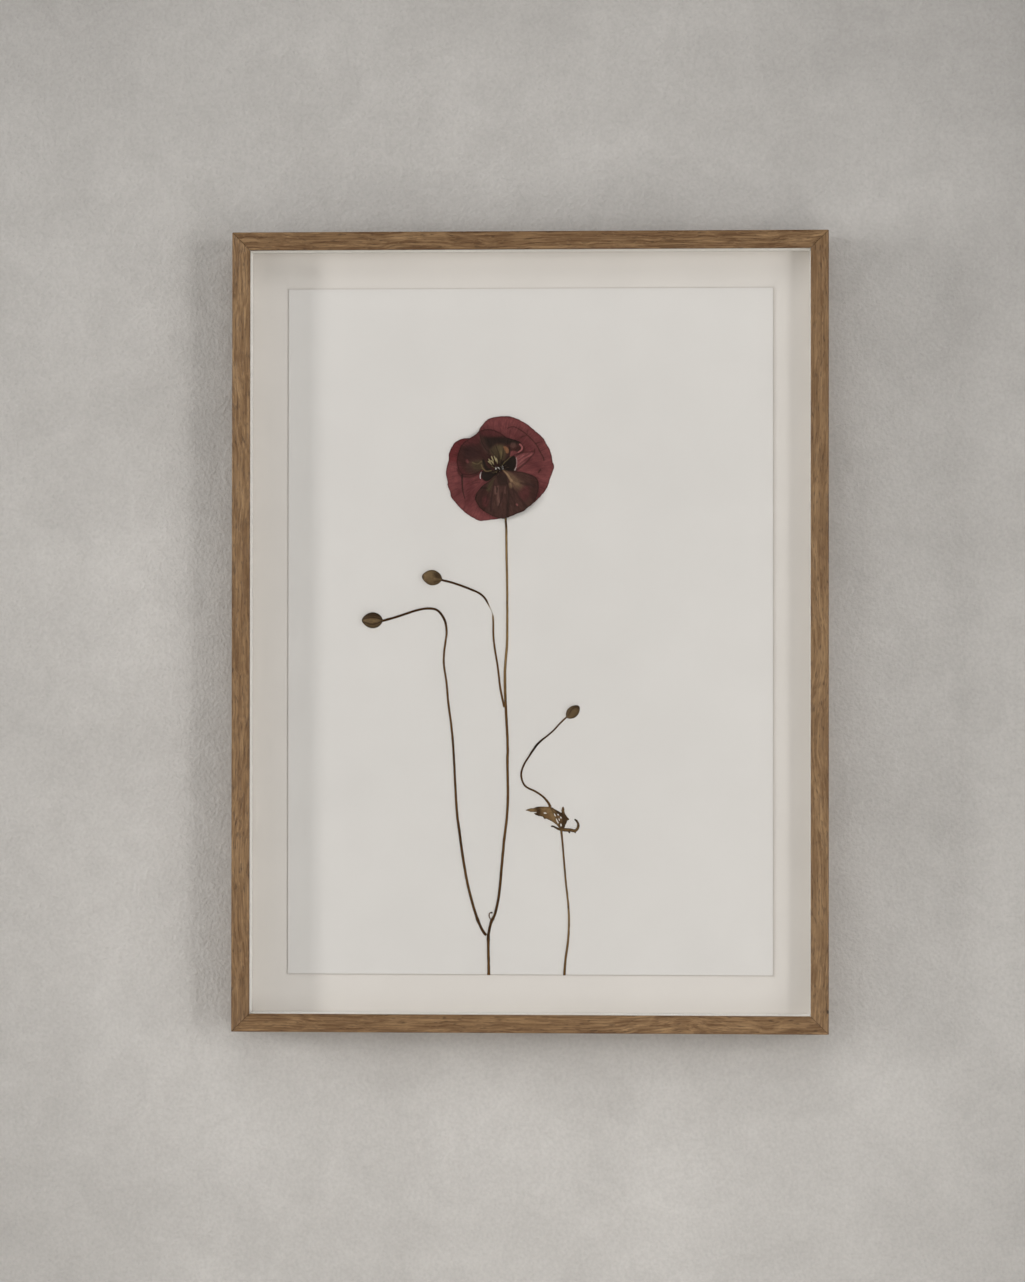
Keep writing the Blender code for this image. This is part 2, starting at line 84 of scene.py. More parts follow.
# Small corrections to where parts of the plant lie on the sheet, in millimetres
FLOWER_SHIFT = (0.45, 0.45)
MAIN_STEM_SHIFT = (-0.25, 0)
LEFT_STEM_SHIFT = (-0.35, 0)
LEFT_BUD_SHIFT = (-0.3, 0.15)
RIGHT_BUD_SHIFT = (0.1, 0.4)

# Screen colours of the dried plant, 0 to 255
TONES = {
    "wine": (98, 52, 51),
    "wine_light": (114, 61, 60),
    "wine_dark": (84, 41, 41),
    "wine_rim": (88, 34, 34),
    "rose": (140, 84, 83),
    "pink": (176, 104, 102),
    "maroon": (55, 31, 27),
    "umber": (64, 42, 36),
    "black": (33, 25, 20),
    "soot": (46, 29, 27),
    "olive": (66, 54, 38),
    "olive_light": (104, 89, 60),
    "tan": (152, 122, 92),
    "mauve": (106, 75, 66),
    "orange": (122, 82, 56),
    "straw": (150, 136, 102),
    "chalk": (204, 198, 190),
    "stem": (92, 64, 32),
    "stem_dark": (62, 38, 14),
    "stem_light": (126, 101, 64),
    "stem_pale": (196, 187, 176),
    "bud": (90, 72, 49),
    "bud_dark": (52, 36, 22),
    "bud_light": (110, 90, 63),
    "leaf": (100, 76, 47),
    "leaf_dark": (54, 38, 22),
    "leaf_light": (134, 108, 74),
    "hair": (112, 84, 58),
}


def linear(colour):
    """A screen colour, 0 to 255, as the linear colour that a material takes."""
    channels = [c / 255 for c in colour]
    return tuple(c / 12.92 if c <= 0.04045 else ((c + 0.055) / 1.055) ** 2.4 for c in channels)


def tone(name):
    return np.array(linear(TONES[name]))


def smooth_line(points, steps, closed=False):
    """A Catmull-Rom curve through points of any dimension."""
    places = np.array(points, dtype=float)
    count = len(places)
    line = []
    for i in range(count if closed else count - 1):
        picks = [(i + k) % count if closed else min(max(i + k, 0), count - 1) for k in (-1, 0, 1, 2)]
        before, start, end, after = places[picks]
        for step in range(steps):
            t = step / steps
            line.append(
                (2 * start + (end - before) * t
                 + (2 * before - 5 * start + 4 * end - after) * t ** 2
                 + (3 * start - before - 3 * end + after) * t ** 3) / 2
            )
    if not closed:
        line.append(places[-1])
    return np.array(line)


def even_line(points, spacing, closed=False):
    """A smooth line through points, with its own points about that far apart."""
    fine = smooth_line(points, 12, closed)
    if closed:
        fine = np.vstack([fine, fine[:1]])
    lengths = np.linalg.norm(np.diff(fine, axis=0), axis=1)
    travelled = np.concatenate([[0], np.cumsum(lengths)])
    count = max(4, round(travelled[-1] / spacing))
    stops = np.linspace(0, travelled[-1], count + 1)
    line = np.stack([np.interp(stops, travelled, fine[:, k]) for k in range(fine.shape[1])], axis=1)
    return line[:-1] if closed else line


def smooth_step(low, high, value):
    t = np.clip((value - low) / (high - low), 0, 1)
    return t * t * (3 - 2 * t)


def noise_at(*coordinates):
    """Perlin noise, about -1 to 1, at arrays of coordinates."""
    columns = np.broadcast_arrays(*coordinates)
    return np.array([noise.noise(point) for point in zip(*(c.ravel().tolist() for c in columns))])


def line_reach(spots, points):
    """Each spot's distance from a line, and how far along the line (0 to 1) it is nearest."""
    line = np.array(points, dtype=float)
    lengths = np.linalg.norm(np.diff(line, axis=0), axis=1)
    starts = np.concatenate([[0], np.cumsum(lengths)])
    best = np.full(len(spots), np.inf)
    along = np.zeros(len(spots))
    for one, two, length, start in zip(line, line[1:], lengths, starts):
        way = (two - one) / length
        t = np.clip((spots - one) @ way, 0, length)
        distance = np.linalg.norm(spots - one - t[:, None] * way, axis=1)
        closer = distance < best
        best[closer] = distance[closer]
        along[closer] = (start + t[closer]) / starts[-1]
    return best, along


def stroke(spots, points, start_width, end_width, softness):
    """A soft brush stroke along a line: 1 in its middle, 0 outside its width."""
    line = smooth_line(points, 6) if len(points) > 2 else points
    distance, along = line_reach(spots, line)
    half = (start_width + (end_width - start_width) * along) / 2
    return 1 - smooth_step(half * (1 - softness), half * (1 + softness), distance)


def inside(spots, outline):
    """True for the spots inside a closed outline."""
    x, y = spots[:, 0], spots[:, 1]
    result = np.zeros(len(spots), dtype=bool)
    for one, two in zip(outline, np.roll(outline, -1, axis=0)):
        crosses = (one[1] > y) != (two[1] > y)
        slope = (two[0] - one[0]) / (two[1] - one[1] if two[1] != one[1] else 1)
        result ^= crosses & (x < one[0] + slope * (y - one[1]))
    return result


def fill(spots, outline, softness):
    """1 inside a smooth closed outline, 0 outside it, with a soft edge."""
    line = smooth_line(outline, 4, closed=True)
    distance, _ = line_reach(spots, np.vstack([line, line[:1]]))
    return smooth_step(-softness, softness, np.where(inside(spots, line), distance, -distance))


def on_sheet(u, v, height):
    """Points on the sheet, as an array of places in metres."""
    return np.stack([u * MM, SHEET_Y - height * MM, CENTRE_Z + v * MM], axis=-1)


def moved(places, shift):
    """Places in metres, moved by a shift in millimetres to the right and up."""
    return places + np.array([shift[0], 0, shift[1]]) * MM


# Materials


def node(tree, kind, inputs=None, **settings):
    """A new node. inputs gives each socket a value or the output that feeds it."""
    made = tree.nodes.new(kind)
    for key, value in settings.items():
        setattr(made, key, value)
    for key, value in (inputs or {}).items():
        if isinstance(value, bpy.types.NodeSocket):
            tree.links.new(value, made.inputs[key])
        else:
            made.inputs[key].default_value = value
    return made


def material(name, **sockets):
    """A material with a plain shader. Underscores in the sockets' names stand for spaces."""
    made = bpy.data.materials.new(name)
    made.use_nodes = True
    shader = made.node_tree.nodes["Principled BSDF"]
    for key, value in sockets.items():
        shader.inputs[key.replace("_", " ")].default_value = value
    return made, made.node_tree, shader


def scaled(tree, vector, scale):
    return node(tree, "ShaderNodeMapping", {"Vector": vector, "Scale": scale}).outputs[0]


def cloud(tree, vector, scale, detail=2.0, roughness=0.5, distortion=0.0):
    """Noise, 0 to 1, at a vector stretched by scale."""
    return node(
        tree, "ShaderNodeTexNoise",
        {"Vector": scaled(tree, vector, scale), "Scale": 1.0, "Detail": detail,
         "Roughness": roughness, "Distortion": distortion},
    ).outputs["Fac"]


def spread(tree, value, low, high, to_low, to_high):
    """value from low..high to to_low..to_high, held within them."""
    return node(
        tree, "ShaderNodeMapRange",
        {"Value": value, "From Min": low, "From Max": high, "To Min": to_low, "To Max": to_high},
    ).outputs[0]


def math_node(tree, operation, *values):
    made = node(tree, "ShaderNodeMath", operation=operation)
    for socket, value in zip(made.inputs, values):
        if isinstance(value, bpy.types.NodeSocket):
            tree.links.new(value, socket)
        else:
            socket.default_value = value
    return made.outputs[0]


def blend(tree, factor, one, two):
    """The colour between one and two. Each is an output or a linear colour."""
    made = node(tree, "ShaderNodeMix", data_type="RGBA")
    for key, value in (("Factor_Float", factor), ("A_Color", one), ("B_Color", two)):
        socket = next(s for s in made.inputs if s.identifier == key)
        if isinstance(value, bpy.types.NodeSocket):
            tree.links.new(value, socket)
        else:
            socket.default_value = value if key == "Factor_Float" else (*value, 1)
    return next(s for s in made.outputs if s.identifier == "Result_Color")


def dim(tree, colour, value):
    """The colour multiplied by a value."""
    made = node(tree, "ShaderNodeVectorMath", {0: colour, "Scale": value}, operation="SCALE")
    return made.outputs[0]


def bump(tree, shader, height, distance, strength=1.0):
    made = node(tree, "ShaderNodeBump", {"Height": height, "Distance": distance, "Strength": strength})
    tree.links.new(made.outputs[0], shader.inputs["Normal"])


def object_place(tree):
    return node(tree, "ShaderNodeTexCoord").outputs["Object"]


def offset_from(tree, place, origin):
    """The way from an origin to a place."""
    return node(tree, "ShaderNodeVectorMath", {0: place, 1: origin}, operation="SUBTRACT").outputs[0]


# The colour of the painted shadow that the sheet's edge throws on the mount card
SHEET_SHADOW = (198, 190, 182)
OAK_LIGHT = (160, 129, 92)
OAK_MIDDLE = (135, 105, 72)
OAK_DARK = (88, 60, 34)
OAK_PORE = (56, 38, 22)
KNOT = (38, 25, 14)
# A small dark knot at the front outer edge of the right stile, near its foot
KNOT_PLACE = (HALF_WIDTH - 0.6 * MM, FRONT_Y, frame_low[2] + 13.8 * MM)
KNOT_REACH = (0.75 * MM, 2.5 * MM, 1.3 * MM)


def warped(tree, place, scale, reach):
    """The place, moved along its diagonal by up to half of reach, so that the grain wanders."""
    slow = cloud(tree, place, (scale, scale, scale), detail=1)
    bend = math_node(tree, "MULTIPLY", math_node(tree, "SUBTRACT", slow, 0.5), reach)
    shift = node(tree, "ShaderNodeCombineXYZ", {"X": bend, "Y": bend, "Z": bend}).outputs[0]
    return node(tree, "ShaderNodeVectorMath", {0: place, 1: shift}, operation="ADD").outputs[0]


def oak(name, along, offset, shade, contrast):
    """Oiled oak with its grain along X or Z. offset shifts the grain from rail to rail."""
    made, tree, shader = material(name, Roughness=0.5)
    here = object_place(tree)
    place = node(tree, "ShaderNodeVectorMath", {0: here, 1: offset}, operation="ADD").outputs[0]
    place = warped(tree, warped(tree, place, 9, 0.016), 55, 0.0024)

    def grain(length, width, **settings):
        across = 1000 / width
        scale = (1000 / length, across, across) if along == "X" else (across, across, 1000 / length)
        return cloud(tree, place, scale, **settings)

    def covered(colour, mask, strength, tone_on_top):
        return blend(tree, math_node(tree, "MULTIPLY", mask, strength), colour, linear(tone_on_top))

    broad = spread(tree, grain(60, 5, detail=2), 0.3, 0.7, 0, 1)
    streak = spread(tree, grain(32, 1.15, detail=3, roughness=0.55), 0.37, 0.63, 0, 1)
    fibres = spread(tree, grain(30, 0.6, detail=3, roughness=0.6), 0.4, 0.66, 0, 1)
    dashes = spread(tree, grain(5, 0.75, detail=1), 0.6, 0.7, 0, 1)
    rays = spread(tree, grain(3.2, 1.0, detail=2), 0.6, 0.7, 0, 1)
    colour = blend(tree, broad, linear(OAK_MIDDLE), linear(OAK_LIGHT))
    colour = covered(colour, streak, 0.6 * contrast, OAK_DARK)
    colour = covered(colour, fibres, 0.4 * contrast, OAK_DARK)
    colour = covered(colour, dashes, 0.55, OAK_PORE)
    colour = covered(colour, rays, 0.3, OAK_LIGHT)
    stretched = scaled(tree, offset_from(tree, here, KNOT_PLACE), [1 / reach for reach in KNOT_REACH])
    distance = node(tree, "ShaderNodeVectorMath", {0: stretched}, operation="LENGTH").outputs["Value"]
    colour = covered(colour, spread(tree, distance, 0.6, 1.15, 1, 0), 0.9, KNOT)
    # Painted shade: the rail's sides behind its front face are darkened to 0.8 of the front's brightness
    depth = node(tree, "ShaderNodeSeparateXYZ", {0: here}).outputs["Y"]
    side_shade_start, side_shade_end = FRONT_Y + 0.1 * MM, FRONT_Y + 0.6 * MM
    colour = dim(tree, colour, spread(tree, depth, side_shade_start, side_shade_end, shade, 0.8 * shade))
    tree.links.new(colour, shader.inputs["Base Color"])
    tree.links.new(spread(tree, streak, 0, 1, 0.42, 0.6), shader.inputs["Roughness"])
    pores = math_node(tree, "ADD", fibres, dashes)
    height = math_node(tree, "ADD", math_node(tree, "MULTIPLY", streak, 0.4), pores)
    bump(tree, shader, math_node(tree, "MULTIPLY", height, -1), 0.00014, 0.7)
    return made


def glue_and_shadow_line():
    """The dark line of glue and shadow that each mitred corner shows: a thin plate between two rails."""
    set_back = 0.2 * MM
    half_thickness = 0.13 * MM
    front, lip_back, back = FRONT_Y + set_back, FRONT_Y + LIP_THICKNESS, FRONT_Y + FRAME_DEPTH - set_back
    profile = [
        (set_back, front), (FACE_WIDTH - set_back, front), (FACE_WIDTH - set_back, lip_back),
        (WALL_THICKNESS - set_back, lip_back), (WALL_THICKNESS - set_back, back), (set_back, back),
    ]
    places, faces = [], []
    for side_x, side_z in ((-1, -1), (1, -1), (1, 1), (-1, 1)):
        start, count = len(places), len(profile)
        for offset in (-half_thickness, half_thickness):
            shift = offset / math.sqrt(2)
            for inward, y in profile:
                x = side_x * (HALF_WIDTH - inward + shift)
                places.append((x, y, CENTRE_Z + side_z * (HALF_HEIGHT - inward - shift)))
        faces.append(tuple(range(start, start + count)))
        faces.append(tuple(reversed(range(start + count, start + 2 * count))))
        for i in range(count):
            j = (i + 1) % count
            faces.append((start + j, start + i, start + count + i, start + count + j))
    mesh = bpy.data.meshes.new("mitre_glue_and_shadow")
    mesh.from_pydata(places, [], faces)
    made, tree, shader = material("mitre_glue_and_shadow", Roughness=0.8)
    clouds = cloud(tree, object_place(tree), (400, 400, 400), detail=3)
    # The dark glue colour also stands for painted shadow in the joint
    tree.links.new(blend(tree, clouds, linear(OAK_PORE), linear(OAK_DARK)), shader.inputs["Base Color"])
    mesh.materials.append(made)
    piece = bpy.data.objects.new("mitre_glue_and_shadow", mesh)
    bpy.context.scene.collection.objects.link(piece)
    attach(piece, "root")


def beside_sheet(tree, place):
    """How far a place lies outside the sheet's edges, in metres."""
    apart = node(tree, "ShaderNodeSeparateXYZ", {0: place}).outputs
    reaches = []
    for axis in ("X", "Z"):
        k = "XYZ".index(axis)
        middle, half = (sheet_low[k] + sheet_high[k]) / 2, (sheet_high[k] - sheet_low[k]) / 2
        away = math_node(tree, "ABSOLUTE", math_node(tree, "SUBTRACT", apart[axis], middle))
        reaches.append(math_node(tree, "SUBTRACT", away, half))
    return math_node(tree, "MAXIMUM", *reaches)


def board(name, colour, speck, fibre, relief, shadow_around_sheet=False):
    """Card, paper or plaster: a nearly even colour with faint clouds and a fine uneven surface.
    The last argument adds a painted shadow: a thin dark line on the card along the sheet's edges."""
    made, tree, shader = material(name, Roughness=0.9, Specular_IOR_Level=0.3)
    place = object_place(tree)
    clouds = cloud(tree, place, (26, 26, 26), detail=3)
    fine = cloud(tree, place, (fibre, fibre, fibre), detail=4, roughness=0.65)
    tint = blend(tree, spread(tree, clouds, 0.3, 0.7, 0, 1), linear(colour), linear(speck))
    tint = dim(tree, tint, spread(tree, fine, 0.3, 0.7, 0.975, 1.015))
    if shadow_around_sheet:
        # Painted shadow: the card is darkened in a thin line just outside the sheet's edges
        line = spread(tree, beside_sheet(tree, place), 0.1 * MM, 0.9 * MM, 0, 1)
        tint = blend(tree, line, linear(SHEET_SHADOW), tint)
    tree.links.new(tint, shader.inputs["Base Color"])
    bump(tree, shader, fine, relief, 0.5)
    return made


def steel(name):
    made, tree, shader = material(name, Metallic=1.0, Roughness=0.34)
    place = object_place(tree)
    brushed = cloud(tree, place, (300, 2500, 2500), detail=3)
    spots = cloud(tree, place, (240, 240, 240), detail=2)
    colour = blend(tree, spots, linear((148, 150, 150)), linear((178, 178, 174)))
    tree.links.new(colour, shader.inputs["Base Color"])
    tree.links.new(spread(tree, brushed, 0.3, 0.7, 0.26, 0.46), shader.inputs["Roughness"])
    bump(tree, shader, brushed, 0.00004, 0.4)
    return made


def felt(name):
    made, tree, shader = material(
        name, Roughness=1.0, Specular_IOR_Level=0.1, Sheen_Weight=0.35, Sheen_Roughness=0.6
    )
    place = object_place(tree)
    fibres = cloud(tree, place, (2600, 2600, 2600), detail=4, roughness=0.7)
    colour = blend(tree, fibres, linear((84, 80, 74)), linear((126, 122, 115)))
    tree.links.new(colour, shader.inputs["Base Color"])
    bump(tree, shader, fibres, 0.0004, 0.9)
    return made


def fibreboard(name):
    made, tree, shader = material(name, Roughness=0.82, Specular_IOR_Level=0.3)
    place = object_place(tree)
    fibres = cloud(tree, place, (420, 420, 420), detail=5, roughness=0.7, distortion=0.6)
    chips = spread(tree, cloud(tree, place, (900, 900, 260), detail=2), 0.62, 0.7, 0, 0.5)
    colour = blend(tree, fibres, linear((112, 84, 56)), linear((150, 120, 86)))
    colour = blend(tree, chips, colour, linear((86, 62, 40)))
    tree.links.new(colour, shader.inputs["Base Color"])
    bump(tree, shader, fibres, 0.00015, 0.6)
    return made


def glass(name):
    clear = (0.985, 0.99, 0.987, 1)
    return material(name, Base_Color=clear, Roughness=0.0, IOR=1.5, Transmission_Weight=1.0)[0]


def dried(name, streaks, contrast, relief, roughness=0.62):
    """A dried part of the plant. Its mesh gives the tint and the lines that its fibres follow."""
    made, tree, shader = material(name, Specular_IOR_Level=0.12)
    tint = node(tree, "ShaderNodeAttribute", attribute_name="tint").outputs["Color"]
    fibre = node(tree, "ShaderNodeAttribute", attribute_name="fibre").outputs["Vector"]
    place = object_place(tree)
    lines = cloud(tree, fibre, streaks, detail=4, roughness=0.6)
    mottle = cloud(tree, place, (520, 520, 520), detail=4, roughness=0.6)
    grain = spread(tree, lines, 0.28, 0.72, 1 - contrast, 1 + contrast)
    cloudy = spread(tree, mottle, 0.3, 0.7, 1 - contrast * 0.6, 1 + contrast * 0.6)
    colour = dim(tree, dim(tree, tint, grain), cloudy)
    tree.links.new(colour, shader.inputs["Base Color"])
    tree.links.new(
        spread(tree, mottle, 0.3, 0.7, roughness - 0.1, roughness + 0.12), shader.inputs["Roughness"]
    )
    height = math_node(tree, "ADD", lines, math_node(tree, "MULTIPLY", mottle, 0.4))
    bump(tree, shader, height, relief, 0.7)
    return made


def wear(obj, made):
    """Gives the material to every slot of an object."""
    for slot in obj.material_slots:
        slot.material = made


def dress_frame():
    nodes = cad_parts
    # Each rail: grain direction, grain offset, brightness and grain contrast. The brightness is partly each
    # board's own tone and partly painted light and shade for its side of the frame
    rails = {
        "rail_top": ("X", (3.1, 0.2, 1.7), 1.0, 1.5),
        "rail_bottom": ("X", (7.4, 0.5, 4.3), 1.05, 1.4),
        "stile_left": ("Z", (1.3, 0.7, 9.2), 1.04, 1.15),
        "stile_right": ("Z", (5.9, 0.1, 2.6), 0.97, 1.0),
    }
    for name, settings in rails.items():
        wear(nodes[name], oak(f"oak_{name}", *settings))
    white = board("spacer_white", (246, 243, 238), (242, 239, 233), 1500, 0.00005)
    metal = steel("zinc_steel")
    pads = felt("grey_felt")
    for name, obj in nodes.items():
        if name.startswith("spacer"):
            wear(obj, white)
        elif name.startswith(("tab", "hanger")):
            wear(obj, metal)
        elif name.startswith("felt"):
            wear(obj, pads)
    card = board("mount_card", (221, 215, 208), (218, 212, 205), 1800, 0.00006, shadow_around_sheet=True)
    wear(nodes["mount_board"], card)
    wear(nodes["paper_sheet"], board("cotton_paper", (220, 216, 211), (217, 213, 208), 1400, 0.00008))
    wear(nodes["backing_board"], fibreboard("fibreboard"))
    wear(nodes["glass_pane"], glass("clear_glass"))
    nodes["glass_pane"].visible_shadow = False
    nodes["glass_pane"].visible_diffuse = False


# Pieces of the plant


def finish_piece(name, places, faces, tints, fibres, made, replaced):
    """Makes one visible piece from its points and faces, and hides the parts that it stands for."""
    mesh = bpy.data.meshes.new(name)
    mesh.from_pydata(places.tolist(), [], faces)
    tint = mesh.attributes.new("tint", "FLOAT_COLOR", "POINT")
    tint.data.foreach_set("color", np.hstack([tints, np.ones((len(tints), 1))]).ravel())
    fibre = mesh.attributes.new("fibre", "FLOAT_VECTOR", "POINT")
    fibre.data.foreach_set("vector", np.asarray(fibres, dtype=float).ravel())
    mesh.validate()
    mesh.shade_smooth()
    mesh.set_sharp_from_angle(angle=math.radians(60))
    mesh.materials.append(made)
    piece = bpy.data.objects.new(name, mesh)
    bpy.context.scene.collection.objects.link(piece)
    # The plant lies flat, so only the flower's upper layers cast a shadow
    piece.visible_shadow = name.startswith(("dried_petal_front", "dried_flower"))
    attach(piece, "root")
    if replaced:
        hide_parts(*replaced)
    return piece


def paint(spots, base, strokes, patches=()):
    """The tint at each spot: a base tone under soft patches and brush strokes."""
    tints = np.tile(tone(base), (len(spots), 1))
    for name, strength, softness, outline in patches:
        share = strength * fill(spots, outline, softness)
        tints += share[:, None] * (tone(name) - tints)
    for name, strength, start_width, end_width, softness, points in strokes:
        share = strength * stroke(spots, points, start_width, end_width, softness)
        tints += share[:, None] * (tone(name) - tints)
    return tints


def thin_sheet(outline, holes, spacing):
    """Triangles that fill a smooth outline around its holes. Returns points and triangles."""
    loops = [even_line(outline, spacing, closed=True)]
    loops += [even_line(hole, spacing * 0.7, closed=True) for hole in holes]
    low, high = loops[0].min(axis=0), loops[0].max(axis=0)
    rows = np.arange(low[1], high[1], spacing * math.sqrt(3) / 2)
    grid = []
    for i, row in enumerate(rows):
        columns = np.arange(low[0] + spacing / 2 * (i % 2), high[0], spacing)
        grid.append(np.stack([columns, np.full_like(columns, row)], axis=1))
    grid = np.concatenate(grid)
    keep = inside(grid, loops[0])
    for number, loop in enumerate(loops):
        closed = np.vstack([loop, loop[:1]])
        keep &= line_reach(grid, closed)[0] > spacing * 0.45
        if number:
            keep &= ~inside(grid, loop)
    points = np.vstack([*loops, grid[keep]])
    edges = []
    start = 0
    for loop in loops:
        count = len(loop)
        edges += [(start + i, start + (i + 1) % count) for i in range(count)]
        start += count
    spots, _, faces, *_ = delaunay_2d_cdt([Vector(p) for p in points], edges, [], 1, 1e-6)
    spots = np.array([tuple(p) for p in spots])
    faces = np.array(faces)
    middles = spots[faces].mean(axis=1)
    solid = inside(middles, loops[0])
    for loop in loops[1:]:
        solid &= ~inside(middles, loop)
    return spots, faces[solid]


def closed_sheet(spots, faces, heights, thickness):
    """A thin closed solid over a sheet's triangles. Returns its places and faces."""
    count = len(spots)
    u, v = spots.T
    places = np.vstack([on_sheet(u, v, heights), on_sheet(u, v, heights - thickness)])
    one, two, three = faces.T
    turned = np.cross(spots[two] - spots[one], spots[three] - spots[one]) < 0
    faces[turned] = faces[turned][:, ::-1]
    sides = {}
    for a, b, c in faces.tolist():
        for edge in ((a, b), (b, c), (c, a)):
            sides[edge] = True
    rim = [(a, b) for a, b in sides if (b, a) not in sides]
    walls = [(a, a + count, b + count, b) for a, b in rim]
    fronts = [tuple(face) for face in faces.tolist()]
    backs = [(c + count, b + count, a + count) for a, b, c in faces.tolist()]
    return places, fronts + backs + walls


def crease(spots, points, width, depth):
    """A smooth groove or ridge along a line, which fades at both of its ends."""
    distance, along = line_reach(spots, smooth_line(points, 6))
    fade = smooth_step(0, 0.15, along) * (1 - smooth_step(0.85, 1, along))
    return depth * fade * np.exp(-(distance / width) ** 2)


